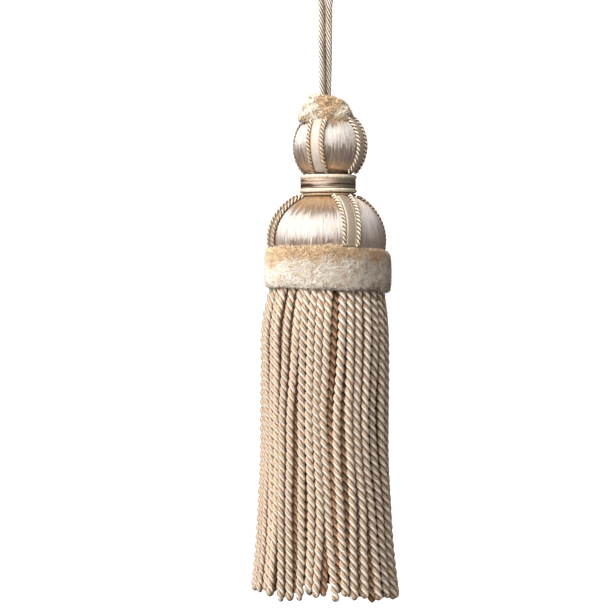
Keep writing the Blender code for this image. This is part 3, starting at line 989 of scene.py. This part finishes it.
def velvet_finish(name, top, foot, mottle, split=None):
    """Cut pile, with painted shade that makes it darker towards its root. A band changes colour at a height,
    a tuft towards its flanks; the band also has painted shade towards +x.
    """
    material, graph = new_finish(name)
    place = graph.add("ShaderNodeTexCoord", None, None, "Object")
    x, _, height = graph.parts(place)
    tip = attribute(graph, "tip")
    shade = attribute(graph, "shade")
    cloud = graph.noise(place, 170.0, 2.0)
    clump = graph.noise(graph.vector("ADD", place, (3.0, 1.0, 2.0)), 620.0, 2.0)
    if split is None:
        flank = abs(x - 0.4 * MM) + (cloud - 0.5) * 22.0 * MM + (clump - 0.5) * 5.0 * MM
        share = 1.0 - flank.ease(2.5 * MM, 8.0 * MM)
    else:
        edge = height + (cloud - 0.5) * 12.0 * MM + (clump - 0.5) * 4.0 * MM
        share = edge.ease(split - 2.0 * MM, split + 2.0 * MM)
    surface = graph.mix(share, solid(foot), solid(top))
    fleck = (shade > 0.86) * tip.ease(0.0, 0.5) * 0.20
    patch = (clump - 0.5) * mottle + (cloud - 0.5) * 0.5
    # Painted shade: darker towards each tuft of pile's root.
    value = tip.ease(-0.3, 0.7) * 0.24 + shade * 0.10 + patch + fleck + 0.80
    # Painted shade on the band's +x side, away from the front-left light, with stronger mottling there.
    if split is not None:
        painted_shade_right = x.ease(2.0 * MM, 17.0 * MM)
        value = value * (1.0 - painted_shade_right * 0.16) + 0.15
        value = value + (clump - 0.5) * painted_shade_right * 0.8
    # Darker values, the painted shade among them, turn warmer.
    warm = graph.joined(value, value**1.35, value**1.6)
    surface = graph.mix(1.0, surface, warm, "MULTIPLY")
    close_finish(
        graph,
        {
            "Base Color": surface,
            "Roughness": 0.9,
            "Sheen Weight": 0.5,
            "Sheen Roughness": 0.5,
            "Specular IOR Level": 0.2,
        },
        tilted(graph, attribute_vector(graph, "lie"), 1.6),
    )
    return material


def ribbon_finish(name, ivory, edge):
    """Woven ribbon: fine cross ribs, and a selvedge of the edge colour along each side, which on the ball's
    ribbons is also painted shadow of the edge cords.
    """
    material, graph = new_finish(name)
    across = attribute(graph, "across")
    along = attribute(graph, "along") / MM
    selvedge = abs(across).ease(0.74, 0.86)
    ribs = (along * 16.0).sine() * 0.5 + 0.5
    warp = (across * 40.0).sine() * 0.5 + 0.5
    cloud = graph.noise(graph.joined(across * 1.5, along * 0.6, 0.0), 1.0, 2.0)
    # On the ball's ribbons the gold edge is partly selvedge and partly painted shadow of the edge cords.
    surface = graph.mix(selvedge, solid(ivory), solid(edge))
    value = cloud * 0.18 + warp * 0.05 + 0.86
    surface = graph.dimmed(surface, value)
    close_finish(
        graph,
        {
            "Base Color": surface,
            "Roughness": 0.45,
            "IOR": 1.6,
        },
        bump(graph, ribs * 0.6 + warp * 0.4, 0.03 * MM, 0.5),
    )
    return material


def drum_finish(name, colour):
    """Satin thread wound round and round the drum, no two turns alike, with painted shade in dark streaks and
    towards its sides.
    """
    material, graph = new_finish(name)
    place = graph.add("ShaderNodeTexCoord", None, None, "Object")
    x, y, z = graph.parts(place)
    streak = graph.noise(graph.joined(x * 90.0, y * 90.0 + 2.0, z * 2000.0), 1.0, 3.0)
    # Painted shade: near-black streaks at random heights among the turns of thread.
    share = streak.ease(0.40, 0.56)
    surface = graph.mix(share, solid(shifted(colour, DRUM_STREAK_SHADE)), solid(colour))
    # Painted shade: darker towards +x and at the far -x end, as if lit from the front left.
    painted_side_shade = 1.0 - x.ease(0.0, 5.0 * MM) * 0.68 - (x * -1.0).ease(4.5 * MM, 7.5 * MM) * 0.35
    surface = graph.dimmed(surface, painted_side_shade)
    round_drum = graph.vector("NORMALIZE", graph.joined(y * -1.0, x, 0.0))
    sway = graph.noise(graph.joined(x * 260.0, y * 260.0, z * 2600.0), 1.0, 2.0)
    close_finish(
        graph,
        {
            "Base Color": surface,
            "Roughness": (1.0 - share) * 0.30 + 0.36,
            "IOR": 2.2,
            "Anisotropic": 1.0,
            "Anisotropic Rotation": 0.25,
        },
        tilted(graph, round_drum, (sway - 0.5) * 1.4),
    )
    return material


def gimp_finish(name, colour, axis_x, outer, half):
    """A core closely wrapped with fine thread, with painted shade where it turns under."""
    material, graph = new_finish(name)
    place = graph.add("ShaderNodeTexCoord", None, None, "Object")
    x, y, z = graph.parts(place)
    round_bead = graph.angle(y, x)
    wrap = (round_bead * 150.0 + z / MM * 2.5).sine() * 0.5 + 0.5
    cloud = graph.noise(graph.joined(round_bead * 9.0, z * 1800.0, 1.0), 1.0, 3.0)
    value = (cloud - 0.5) * 1.3 + wrap * 0.16 + 0.90
    surface = graph.dimmed(solid(colour), value)
    from_axis = x - axis_x
    reach = (from_axis * from_axis + y * y) ** 0.5
    # Painted shade where the bead turns under.
    outside = reach.ease(outer - half * 0.95, outer - half * 0.70)
    surface = graph.mix(outside, solid(tone(*BEAD_UNDER_SHADE)), surface)
    close_finish(
        graph,
        {"Base Color": surface, "Roughness": 0.46, "Specular IOR Level": 0.6},
        bump(graph, wrap, 0.03 * MM, 0.6),
    )
    return material


# ---------------------------------------------------------------- settings


def length_of(name, description, millimetres):
    return bpy.props.FloatProperty(
        name=name,
        description=description,
        default=millimetres * MM,
        min=0.0,
        precision=5,
        subtype="DISTANCE",
        unit="LENGTH",
    )


def colour_of(name, description, *display):
    return bpy.props.FloatVectorProperty(
        name=name, description=description, default=tone(*display), subtype="COLOR", size=3, min=0.0, max=1.0
    )


def count_of(name, description, default):
    return bpy.props.IntProperty(name=name, description=description, default=default, min=1)


def number_of(name, description, default):
    return bpy.props.FloatProperty(name=name, description=description, default=default, min=0.0)


def angle_of(name, description, degrees):
    return bpy.props.FloatProperty(
        name=name,
        description=description,
        default=math.radians(degrees),
        subtype="ANGLE",
        unit="ROTATION",
    )


class TasselStage(bpy.types.PropertyGroup):
    """The room, the lights and the camera."""

    eye: bpy.props.FloatVectorProperty(
        name="Eye",
        description="Place of the camera, which looks level at the tassel's front",
        default=(-0.0063, -0.690, -0.1077),
        subtype="XYZ",
        unit="LENGTH",
    )
    field: angle_of("Field of view", "Angle that the camera takes in", 15.06)
    room: length_of("Room", "Radius of the pale round room", 3000.0)
    floor: length_of("Floor", "How far the floor lies below the origin", 700.0)
    pale: colour_of("Room colour", "Colour of the floor and the wall", 255, 255, 255)
    key: number_of("Key light", "Watts of the soft light at the front left", 18.0)
    fill: number_of("Fill light", "Watts of the weak light at the front right", 0.08)
    sky: number_of("Surroundings", "Strength of the even light from all round", 0.19)


class TasselCord(bpy.types.PropertyGroup):
    """The hanging cord."""

    diameter: length_of("Diameter", "Across the whole cord", 2.3)
    pitch: length_of("Pitch", "Length of one full turn of the plies", 12.6)
    plies: count_of("Plies", "Plies that are turned round each other", 8)
    light: colour_of("Light ply", "Colour of the paler plies", 200, 182, 160)
    dark: colour_of("Dark ply", "Colour of the deeper plies", 150, 125, 103)
    # The bright thread is a painted highlight line along each ply, and the groove colour is painted shade
    # between the plies.
    bright: colour_of("Bright thread", "Colour of each ply's brightest thread", 248, 242, 232)
    groove: colour_of("Groove", "Colour between the plies", 110, 86, 68)


class TasselVelvet(bpy.types.PropertyGroup):
    """The tuft and the band."""

    pile_height: length_of("Pile height", "Length of the pile", 1.0)
    pile_width: length_of("Pile width", "Half width of a tuft of pile at its root", 0.20)
    pile_spacing: length_of("Pile spacing", "Least distance between tufts of pile", 0.22)
    tan: colour_of("Tan", "The band's upper edge and the tuft", 224, 188, 148)
    cream: colour_of("Cream", "The band's lower part", 255, 238, 219)
    buff: colour_of("Buff", "The tuft's flanks", 240, 224, 202)


class TasselSatin(bpy.types.PropertyGroup):
    """The wound ball and bell."""

    thread: length_of("Thread", "Width of a thread at the widest place", 0.36)
    relief: length_of("Relief", "How far a thread stands proud", 0.05)
    light: colour_of("Light thread", "Colour of the paler threads", 192, 168, 146)
    deep: colour_of("Deep thread", "Colour of the deeper threads", 142, 114, 94)
    # Painted reflection: the warm tint towards the moulds' top and foot.
    warm: colour_of("Warm thread", "Colour where the threads run in at the ends", 214, 162, 96)


class TasselTrims(bpy.types.PropertyGroup):
    """Ribbons and their edge cords."""

    ribbon: length_of("Ribbon", "Width of the ribbon", 3.0)
    lift: length_of("Lift", "Height of the ribbon over the threads", 0.25)
    cord: length_of("Edge cord", "Diameter of the twisted edge cord", 1.35)
    ball_pitch: length_of("Pitch on the ball", "One full turn of the edge cord", 2.5)
    bell_pitch: length_of("Pitch on the bell", "One full turn of the edge cord", 2.6)
    ivory: colour_of("Ivory", "Colour of the ball's ribbons", 212, 200, 188)
    # The bell's ribbons are a darker copy of the ivory ribbon: painted shade.
    ivory_in_painted_shade: colour_of("Taupe", "Colour of the bell's ribbons", 170, 153, 137)
    gold: colour_of("Gold", "Colour of the edge cords", 190, 160, 126)
    # The bright thread is a painted highlight line along each edge cord's ply, and also the selvedge of the
    # bell's ribbons; the groove colour is painted shadow between the plies.
    bright: colour_of("Bright thread", "Colour of the bright thread of an edge cord", 252, 242, 222)
    shadow: colour_of("Groove", "Colour between the plies of an edge cord", 84, 52, 30)


class TasselCollar(bpy.types.PropertyGroup):
    """The wound collar between the ball and the bell."""

    thread: length_of("Thread", "Height of a turn of thread on the drum", 0.33)
    satin: colour_of("Drum", "Colour of the drum's thread", 226, 198, 172)
    bead: colour_of("Bead", "Colour of the plain beads", 236, 222, 202)
    gold: colour_of("Thin bead", "Colour of the thin bead", 186, 154, 118)


class TasselSkirt(bpy.types.PropertyGroup):
    """The bullion fringe."""

    width: length_of("Width", "Across a bullion", 2.6)
    pitch: length_of("Pitch", "One full turn of a bullion's two plies", 5.2)
    back_bullions: count_of("Bullions at the back", "Outer bullions that the front table leaves out", 20)
    inner_back_bullions: count_of("Inner bullions at the back", "Inner ones that the table leaves out", 31)
    light: colour_of("Ply", "Colour of a bullion's plies", 196, 173, 149)
    # The bright thread is a painted highlight line along each ply, and the groove colour is painted shade
    # between the plies.
    bright: colour_of("Bright thread", "Colour of a ply's brightest thread", 255, 242, 228)
    groove: colour_of("Groove", "Colour between a bullion's plies", 114, 72, 44)
    # The row behind is the same yarn in painted shade: darker, warmer copies of the colours above.
    inner_ply_in_shade: colour_of("Inner ply", "Colour of the row behind", 172, 126, 90)
    inner_highlight_in_shade: colour_of("Inner bright thread", "Brightest thread of the row behind", 226, 188, 152)
    inner_groove_shade: colour_of("Inner groove", "Colour between the plies behind", 84, 46, 22)


# ---------------------------------------------------------------- operators


class TASSEL_OT_stage(bpy.types.Operator):
    """Put the tassel in a plain pale room, softly lit from the front"""

    bl_idname = "tassel.stage"
    bl_label = "Room, lights and camera"

    def execute(self, context):
        settings = context.scene.tassel_stage
        self.add_camera(context, settings)
        self.add_room(settings)
        self.add_lights(context, settings)
        return {"FINISHED"}

    def add_camera(self, context, settings):
        data = bpy.data.cameras.new("camera")
        data.angle = settings.field
        data.clip_start = 0.01
        camera = bpy.data.objects.new("camera", data)
        camera.location = settings.eye
        camera.rotation_euler = (math.radians(90.0), 0.0, 0.0)
        context.scene.collection.objects.link(camera)
        context.scene.camera = camera

    def add_room(self, settings):
        """A round floor that curves up into a wall, all round the tassel."""
        floor, room, bend = -settings.floor, settings.room, ROOM_BEND
        outline = [(ROOM_HOLE, floor), (room - bend, floor)]
        for step in range(1, ROOM_STEPS + 1):
            turn = math.radians(90.0 * step / ROOM_STEPS)
            outline.append((room - bend + bend * math.sin(turn), floor + bend - bend * math.cos(turn)))
        outline.append((room, floor + 2 * room))
        outline.append((ROOM_HOLE, floor + 3 * room))
        rings = []
        for azimuth in range(0, 360, ROOM_TURN):
            away = outward(azimuth)
            rings.append([away * radius + Vector((0.0, 0.0, z)) for radius, z in outline])
        mesh = surface_mesh("room", rings, closed_rings=False)
        material, graph = new_finish("pale_room")
        grain = graph.noise(graph.add("ShaderNodeTexCoord", None, None, "Object"), 3.0)
        surface = graph.mix(grain * 0.02, solid(settings.pale), solid(tone(244, 244, 244)))
        sockets = {"Base Color": surface, "Roughness": 0.9, "Specular IOR Level": 0.0}
        sockets.update({"Emission Color": solid(settings.pale), "Emission Strength": 1.0})
        close_finish(graph, sockets)
        room_piece = add_piece("room", mesh, material)
        room_piece.visible_diffuse = False
        room_piece.visible_glossy = False
        room_piece.visible_shadow = False

    def add_lights(self, context, settings):
        low, high = (Vector(corner) for corner in cad_box)
        target = Vector(((low.x + high.x) / 2, 0.0, LAMPS_AIM))
        for name, azimuth, height, distance, size, colour in LAMPS:
            rise = math.radians(height)
            away = outward(azimuth) * math.cos(rise) + Vector((0.0, 0.0, math.sin(rise)))
            data = bpy.data.lights.new(name, "AREA")
            data.shape = "SQUARE"
            data.size = size
            data.energy = getattr(settings, name)
            data.color = colour
            lamp = bpy.data.objects.new(name, data)
            lamp.location = target + away * distance
            lamp.rotation_euler = away.to_track_quat("Z", "Y").to_euler()
            context.scene.collection.objects.link(lamp)
        world = bpy.data.worlds.new("surroundings")
        world.use_nodes = True
        background = world.node_tree.nodes["Background"]
        background.inputs["Color"].default_value = solid(SKY_COLOUR)
        background.inputs["Strength"].default_value = settings.sky
        context.scene.world = world
        context.scene.view_settings.view_transform = "Standard"


class TASSEL_OT_hanging_cord(bpy.types.Operator):
    """Twist the hanging cord and double it into its loop"""

    bl_idname = "tassel.hanging_cord"
    bl_label = "Hanging cord"

    def execute(self, context):
        settings = context.scene.tassel_cord
        leg = [tuple(value * MM for value in point) for point in LEG_ROUTE]
        other_leg = [(-x, -y, z) for x, y, z in leg]
        top = tuple(value * MM for value in LOOP_TOP)
        route = smooth_route(other_leg[::-1] + [top] + leg, settings.diameter / 2)
        ply = settings.diameter / 2 * CORD_PLY
        finish = yarn_finish(
            "cord_yarn",
            settings.light,
            settings.groove,
            settings.bright,
            0.5,
            groove=(0.89, 0.985),
            second=settings.dark,
            contrast=0.20,
        )
        sizes = {"points": 300, "plies": settings.plies, "sides": 6}
        cord = plied("hanging_cord_yarn", [route], finish, settings.diameter, ply, settings.pitch, **sizes)
        keep(cord, "cord_yarn", "hanging_cord")
        return {"FINISHED"}


class TASSEL_OT_tuft(bpy.types.Operator):
    """Gather the velvet tuft round the foot of the cord"""

    bl_idname = "tassel.tuft"
    bl_label = "Velvet tuft"

    def execute(self, context):
        settings = context.scene.tassel_velvet
        axis_x = axis_of("velvet_tuft")
        profile = smooth_route([(r * MM, 0.0, z * MM) for r, z in TUFT_DOME], TUFT_STEP)
        rng = np.random.default_rng(5)
        waves = [(TUFT_WAVE / k**0.5, k, rng.uniform(0, math.tau)) for k in TUFT_WAVES]
        rings = []
        for azimuth in np.arange(0.0, 360.0, TUFT_TURN):
            turn = math.radians(azimuth)
            lump = waved(turn, waves)
            away = outward(azimuth)
            ring = []
            for step, (radius, _, z) in enumerate(profile):
                swell = clamped((radius - TUFT_NECK) / TUFT_SWELL)
                knot = math.sin(8.0 * turn + step * 0.8) + math.sin(13.0 * turn - step * 1.1)
                low_part = clamped((TUFT_SHOULDER - z) / TUFT_FLANK)
                front = max(0.0, math.cos(turn)) ** 0.5 * low_part
                reach = radius * (1.0 + lump * swell) + FRONT_REACH * front + KNOT_REACH * knot * swell
                tilt = TUFT_TILT * math.cos(math.radians(azimuth + TUFT_TILT_TURN))
                raised = tilt * swell * (1.0 - swell**3)
                height = z + TUFT_RISE * (lump * swell + raised) - FRONT_DROP * front
                height = height + KNOT_HEIGHT * knot * swell
                ring.append(away * reach + Vector((axis_x, 0.0, height)))
            rings.append(ring[::-1])
        finish = velvet_finish("tuft_velvet", settings.tan, settings.buff, 0.5)
        cloth = add_piece("tuft_cloth", surface_mesh("tuft_cloth", rings), finish)
        keep(cloth, "velvet", "velvet_tuft")
        piled("tuft_pile", cloth.data.copy(), finish, settings, lean=0.55, seed=11)
        return {"FINISHED"}


class TASSEL_OT_moulds(bpy.types.Operator):
    """Wind the ball and the bell with satin floss"""

    bl_idname = "tassel.moulds"
    bl_label = "Satin-wound ball and bell"

    def execute(self, context):
        settings = context.scene.tassel_satin
        finish = satin_finish("satin_floss", settings.light, settings.deep, settings.warm)
        for name, dome, rows, seed in (("ball", BALL, 30, 3), ("bell", BELL, 26, 8)):
            wound = grown(
                f"{name}_floss",
                bpy.data.node_groups["Wound mould"],
                bpy.data.meshes.new(f"{name}_line"),
                finish,
                centre=tuple(dome.centre),
                radius=dome.radius - settings.relief,
                half_height=dome.half_height - settings.relief,
                last_angle=math.radians(dome.down_to(dome.foot)),
                threads=round(math.tau * dome.radius / settings.thread),
                rows=rows,
                relief=settings.relief,
                unevenness=0.03 * MM,
                wander=0.9,
                seed=seed,
            )
            keep(wound, "satin_floss", name)
        return {"FINISHED"}


class TASSEL_OT_trims(bpy.types.Operator):
    """Lay the ribbons over the moulds, with a twisted cord along each edge"""

    bl_idname = "tassel.trims"
    bl_label = "Ribbons and edge cords"

    def execute(self, context):
        settings = context.scene.tassel_trims
        ball_ribbon = ribbon_finish("ivory_ribbon", settings.ivory, settings.gold)
        # The bell's ribbons: the ivory ribbon in painted shade.
        bell_ribbon = ribbon_finish("taupe_ribbon", settings.ivory_in_painted_shade, settings.bright)
        gold = yarn_finish(
            "gold_trim", settings.gold, settings.shadow, settings.bright, 0.4, groove=(0.68, 0.90)
        )
        moulds = (
            ("ball", BALL, BALL_TRIMS, BALL_TRIM_SPREAD, settings.ball_pitch, ball_ribbon),
            ("bell", BELL, BELL_TRIMS, BELL_TRIM_SPREAD, settings.bell_pitch, bell_ribbon),
        )
        for name, dome, trims, spread, pitch, ribbon in moulds:
            routes = {side: [] for side in (-1, 0, 1)}
            for number, azimuths in enumerate(trims, 1):
                first, last = self.reach(name, number, dome, azimuths[0])
                for side in routes:
                    routes[side].append(self.route(dome, azimuths, spread, side, first, last))
            strips = add_piece(f"{name}_ribbons", self.strips_mesh(name, routes[0], settings), ribbon)
            keep(strips, "ivory_ribbon", *[f"{name}_ribbon_{n}" for n in range(1, len(trims) + 1)])
            lift = settings.cord / 2
            sunk = TUCKED_IN if name == "ball" else ()
            lines = []
            for route in routes[-1] + routes[1]:
                shares = sunk + (1.0,) * (len(route) - len(sunk))
                lines.append([place + out * lift * share for (place, out), share in zip(route, shares)])
            ply = settings.cord * EDGE_PLY
            sizes = {"points": 110, "plies": 2, "sides": 7, "phases": 1.0, "facing": 1.0, "seed": 4}
            cords = plied(f"{name}_cords", lines, gold, settings.cord, ply, pitch, **sizes)
            nodes = [f"{name}_cord_{n}{edge}" for n in range(1, len(trims) + 1) for edge in "ab"]
            keep(cords, "gold_trim", *nodes)
        return {"FINISHED"}

    def reach(self, name, number, dome, azimuth):
        """Where a trim starts and ends, down from the dome's top. The ball's run in under the tuft."""
        if name == "bell":
            low, _ = span(f"{name}_ribbon_{number}")
            return BELL_TRIM_START, dome.down_to(low.z) + BELL_TRIM_TUCK
        middle = axis_of("velvet_tuft")
        for first in np.arange(BALL_TRIM_START, 0.0, -0.5):
            point, _ = dome.place(first, azimuth)
            if math.hypot(point.x - middle, point.y) < TUFT_COVER:
                return float(first), BALL_TRIM_END
        raise ValueError(f"The tuft covers no part of {name} trim {number}")

    def route(self, dome, azimuths, spread, side, first, last):
        """Places and directions out of the dome along a trim's middle or one of its edges."""
        places = []
        for share in np.linspace(0.0, 1.0, TRIM_PLACES):
            down = first + (last - first) * share
            reach = side * (spread[0] + (spread[1] - spread[0]) * share)
            turn = math.degrees(reach / (dome.radius * math.sin(math.radians(down))))
            places.append(dome.place(down, azimuths[0] + (azimuths[1] - azimuths[0]) * share + turn))
        return places

    def strips_mesh(self, name, routes, settings):
        """Thin strips with a slight crown, closed all round."""
        columns = np.linspace(-1.0, 1.0, RIBBON_COLUMNS)
        vertices, faces, across, along = [], [], [], []
        for route in routes:
            travelled = 0.0
            first = len(vertices)
            count = 2 * len(columns)
            for index, (point, normal) in enumerate(route):
                before = route[max(0, index - 1)][0]
                after = route[min(len(route) - 1, index + 1)][0]
                side = (after - before).cross(normal).normalized()
                travelled += (point - before).length
                for under in (False, True):
                    for column in columns if not under else columns[::-1]:
                        crown = RIBBON_CROWN * (1.0 - column**2) - RIBBON_BEND * abs(column) ** 6
                        height = settings.lift + crown + (0.0 if under else RIBBON_THICKNESS)
                        vertices.append(point + normal * height + side * column * settings.ribbon / 2)
                        across.append(column)
                        along.append(travelled)
            for ring in range(len(route) - 1):
                for corner in range(count):
                    beside = (corner + 1) % count
                    low, high = first + ring * count, first + (ring + 1) * count
                    faces.append((low + corner, low + beside, high + beside, high + corner))
            faces.append(tuple(first + corner for corner in reversed(range(count))))
            end = first + (len(route) - 1) * count
            faces.append(tuple(end + corner for corner in range(count)))
        mesh = bpy.data.meshes.new(f"{name}_ribbons")
        mesh.from_pydata([tuple(v) for v in vertices], [], faces)
        mesh.shade_smooth()
        mesh.set_sharp_from_angle(angle=math.radians(50.0))
        for label, values in (("across", across), ("along", along)):
            mesh.attributes.new(label, "FLOAT", "POINT").data.foreach_set("value", values)
        return mesh


class TASSEL_OT_collar(bpy.types.Operator):
    """Wind the collar's drum and lay its beads"""

    bl_idname = "tassel.collar"
    bl_label = "Collar"

    def execute(self, context):
        settings = context.scene.tassel_collar
        low, high = span("collar")
        axis = Vector((axis_of("collar"), 0.0, 0.0))
        radius = (high.x - low.x) / 2
        drum = self.wound_drum(settings, axis, radius, low.z, high.z)
        keep(drum, "satin_floss", "collar")
        for name, colour in (
            ("collar_bead_upper", settings.bead),
            ("collar_bead_lower", settings.bead),
            ("collar_bead_thin", settings.gold),
        ):
            bead = self.bead(name, axis, colour)
            keep(bead, "collar_gimp", name)
        return {"FINISHED"}

    def turned(self, name, outline, axis, finish):
        """An outline turned round the collar's axis."""
        rings = []
        for azimuth in np.arange(0.0, 360.0, COLLAR_TURN):
            away = outward(azimuth)
            rings.append([away * r + axis + Vector((0.0, 0.0, z)) for r, z in outline[::-1]])
        return add_piece(name, surface_mesh(name, rings), finish)

    def wound_drum(self, settings, axis, radius, bottom, top):
        """The core with a thread wound round and round its middle."""
        outline = [(COLLAR_HOLE, top), (COLLAR_CORE, top)]
        turns = round((DRUM_TOP - DRUM_BOTTOM) / settings.thread)
        for turn in range(turns):
            for step in range(DRUM_STEPS):
                share = (turn + step / DRUM_STEPS) / turns
                round_out = math.sin(math.pi * step / DRUM_STEPS) ** 0.8
                z = DRUM_TOP + (DRUM_BOTTOM - DRUM_TOP) * share
                outline.append((radius - DRUM_RELIEF + DRUM_RELIEF * round_out, z))
        outline += [(radius - DRUM_RELIEF, DRUM_BOTTOM), (COLLAR_CORE, DRUM_BOTTOM)]
        outline += [(COLLAR_CORE, bottom), (COLLAR_HOLE, bottom)]
        return self.turned("collar_floss", outline, axis, drum_finish("drum_floss", settings.satin))

    def bead(self, name, axis, colour):
        low, high = span(name)
        outer = (high.x - low.x) / 2
        half = (high.z - low.z) / 2
        middle = (high.z + low.z) / 2
        outline = [(BEAD_INSIDE, middle + half)]
        for step in range(BEAD_STEPS + 1):
            turn = math.radians(90.0 - 180.0 * step / BEAD_STEPS)
            outline.append((outer - half + half * math.cos(turn), middle + half * math.sin(turn)))
        outline.append((BEAD_INSIDE, middle - half))
        finish = gimp_finish(name + "_finish", colour, axis.x, outer, half)
        return self.turned(name + "_gimp", outline, axis, finish)


class TASSEL_OT_band(bpy.types.Operator):
    """Wrap the two-tone velvet band round the bell's foot"""

    bl_idname = "tassel.band"
    bl_label = "Velvet band"

    def execute(self, context):
        settings = context.scene.tassel_velvet
        axis_x = axis_of("velvet_band")
        finish = velvet_finish("band_velvet", settings.tan, settings.cream, 0.85, BAND_SPLIT)
        rings = []
        for azimuth in np.arange(0.0, 360.0, BAND_TURN):
            turn = math.radians(azimuth)
            top = read_round(BAND_EDGES, 1, azimuth) + waved(turn, BAND_TOP_WAVES)
            bottom = read_round(BAND_EDGES, 2, azimuth) + waved(turn, BAND_FOOT_WAVES)
            away = outward(azimuth)
            swell = waved(turn, BAND_SWELL)
            ring = [
                away * (r + swell) * MM + Vector((axis_x, 0.0, (bottom + (top - bottom) * share) * MM))
                for r, share in BAND_SECTION
            ]
            rings.append(ring)
        cloth = add_piece("band_cloth", surface_mesh("band_cloth", rings), finish)
        keep(cloth, "velvet", "velvet_band")
        pile = piled("band_pile", self.outer_skin(rings), finish, settings, lean=0.5, seed=21)
        return {"FINISHED"}

    def outer_skin(self, rings):
        """The part of the cloth that shows, which the pile stands on."""
        return surface_mesh("band_skin", [ring[:-1] for ring in rings], closed_rings=False)


class TASSEL_OT_skirt(bpy.types.Operator):
    """Twist the bullions and hang them in two rows"""

    bl_idname = "tassel.skirt"
    bl_label = "Bullion skirt"

    def execute(self, context):
        settings = context.scene.tassel_skirt
        finish = yarn_finish("bullion_yarn", settings.light, settings.groove, settings.bright, 0.5)
        # The inner row's yarn: the same yarn with darker colours, painted shade for the row behind.
        deep = yarn_finish(
            "inner_bullion_yarn",
            settings.inner_ply_in_shade,
            settings.inner_groove_shade,
            settings.inner_highlight_in_shade,
            0.6,
        )
        rng = np.random.default_rng(17)
        rows = (  # row, table, bullions behind, set back in mm, finish, points, sides, seed
            ("front", FRONT_BULLIONS, 0, 0.0, finish, 205, 8, 2),
            ("back", FRONT_BULLIONS, settings.back_bullions, 0.0, finish, 205, 8, 6),
            ("inner", INNER_FRONT_BULLIONS, settings.inner_back_bullions, 2.5, deep, 170, 6, 9),
        )
        for name, table, behind, set_back, yarn, points, sides, seed in rows:
            bullions = [] if name == "back" else list(table)
            first, last = table[-1][1] + BACK_GAP, 360.0 + table[0][1] - BACK_GAP
            for azimuth in np.linspace(first, last, behind) if behind else ():
                turns = azimuth + rng.uniform(-BACK_SWAY, BACK_SWAY, len(BULLION_HEIGHTS))
                own_set_back, longer = rng.uniform(0.0, BACK_SET_BACK), rng.uniform(-BACK_LONGER, BACK_LONGER)
                bullions.append((*turns, own_set_back, longer))
            lines = [self.line(row, set_back, rng) for row in bullions]
            piece = plied(
                f"bullions_{name}",
                lines,
                yarn,
                settings.width,
                settings.width * BULLION_PLY,
                settings.pitch,
                points=points,
                plies=2,
                slackening=0.03,
                sides=sides,
                looped=1.0,
                phases=1.0,
                facing=1.0,
                seed=seed,
            )
            keep(piece, "bullion_yarn", *(["bullion_skirt"] if name == "front" else []))
        return {"FINISHED"}

    def line(self, row, set_back, rng):
        """The middle line of one bullion, a little wavy."""
        *azimuths, own_set_back, longer = row
        nearer = max(0.0, math.cos(math.radians(azimuths[-1])))
        hem = read_round(HEM, 1, azimuths[-1]) + SET_BACK_RISE * set_back - longer
        hem = hem + HEM_RISE + FRONT_HEM_RISE * nearer
        starts = rng.uniform(0.0, math.tau, 4)
        sways = [(*wave, start) for wave, start in zip(BULLION_SWAY, starts[:2])]
        swells = [(*wave, start) for wave, start in zip(BULLION_SWELL, starts[2:])]
        points = []
        for share in np.linspace(0.0, 1.0, BULLION_PLACES):
            z = BULLION_TOP + (hem - BULLION_TOP) * share
            azimuth = float(np.interp(-z, [-height for height in BULLION_HEIGHTS], azimuths))
            loose = min(1.0, share * LOOSENING)
            radius = read_table(SKIRT_LINE, 1, z) - set_back - own_set_back * loose
            drift = SKIRT_DRIFT + (SKIRT_TOP_DRIFT - SKIRT_DRIFT) * max(0.0, 1.0 - share * DRIFT_FADING)
            point = outward(azimuth) * (radius + waved(share, swells) * loose)
            point = point + outward(azimuth + 90.0) * waved(share, sways) * loose
            points.append(point * MM + Vector((drift, 0.0, z * MM)))
        every_fourth = points[:-1:4] + [points[-1]]
        return smooth_route([tuple(point) for point in every_fourth], BULLION_STEP)


class TASSEL_PT_sidebar(bpy.types.Panel):
    """The tassel's pieces, in the order in which they are made"""

    bl_label = "Key tassel"
    bl_idname = "TASSEL_PT_sidebar"
    bl_space_type = "VIEW_3D"
    bl_region_type = "UI"
    bl_category = "Tassel"

    def draw(self, context):
        for operator in OPERATORS:
            self.layout.operator(operator.bl_idname)


OPERATORS = (
    TASSEL_OT_stage,
    TASSEL_OT_hanging_cord,
    TASSEL_OT_tuft,
    TASSEL_OT_moulds,
    TASSEL_OT_trims,
    TASSEL_OT_collar,
    TASSEL_OT_band,
    TASSEL_OT_skirt,
)
SETTINGS = {
    "tassel_stage": TasselStage,
    "tassel_cord": TasselCord,
    "tassel_velvet": TasselVelvet,
    "tassel_satin": TasselSatin,
    "tassel_trims": TasselTrims,
    "tassel_collar": TasselCollar,
    "tassel_skirt": TasselSkirt,
}


def register():
    for name, group in SETTINGS.items():
        bpy.utils.register_class(group)
        setattr(bpy.types.Scene, name, bpy.props.PointerProperty(type=group))
    for operator in OPERATORS:
        bpy.utils.register_class(operator)
    bpy.utils.register_class(TASSEL_PT_sidebar)


def unregister():
    bpy.utils.unregister_class(TASSEL_PT_sidebar)
    for operator in reversed(OPERATORS):
        bpy.utils.unregister_class(operator)
    for name, group in reversed(SETTINGS.items()):
        delattr(bpy.types.Scene, name)
        bpy.utils.unregister_class(group)


def main():
    register()
    for make_tree in (plied_tree, wound_tree, pile_tree):
        make_tree()
    bpy.ops.tassel.stage()
    bpy.ops.tassel.hanging_cord()
    bpy.ops.tassel.tuft()
    bpy.ops.tassel.moulds()
    bpy.ops.tassel.trims()
    bpy.ops.tassel.collar()
    bpy.ops.tassel.band()
    bpy.ops.tassel.skirt()


if __name__ == "__main__":
    main()
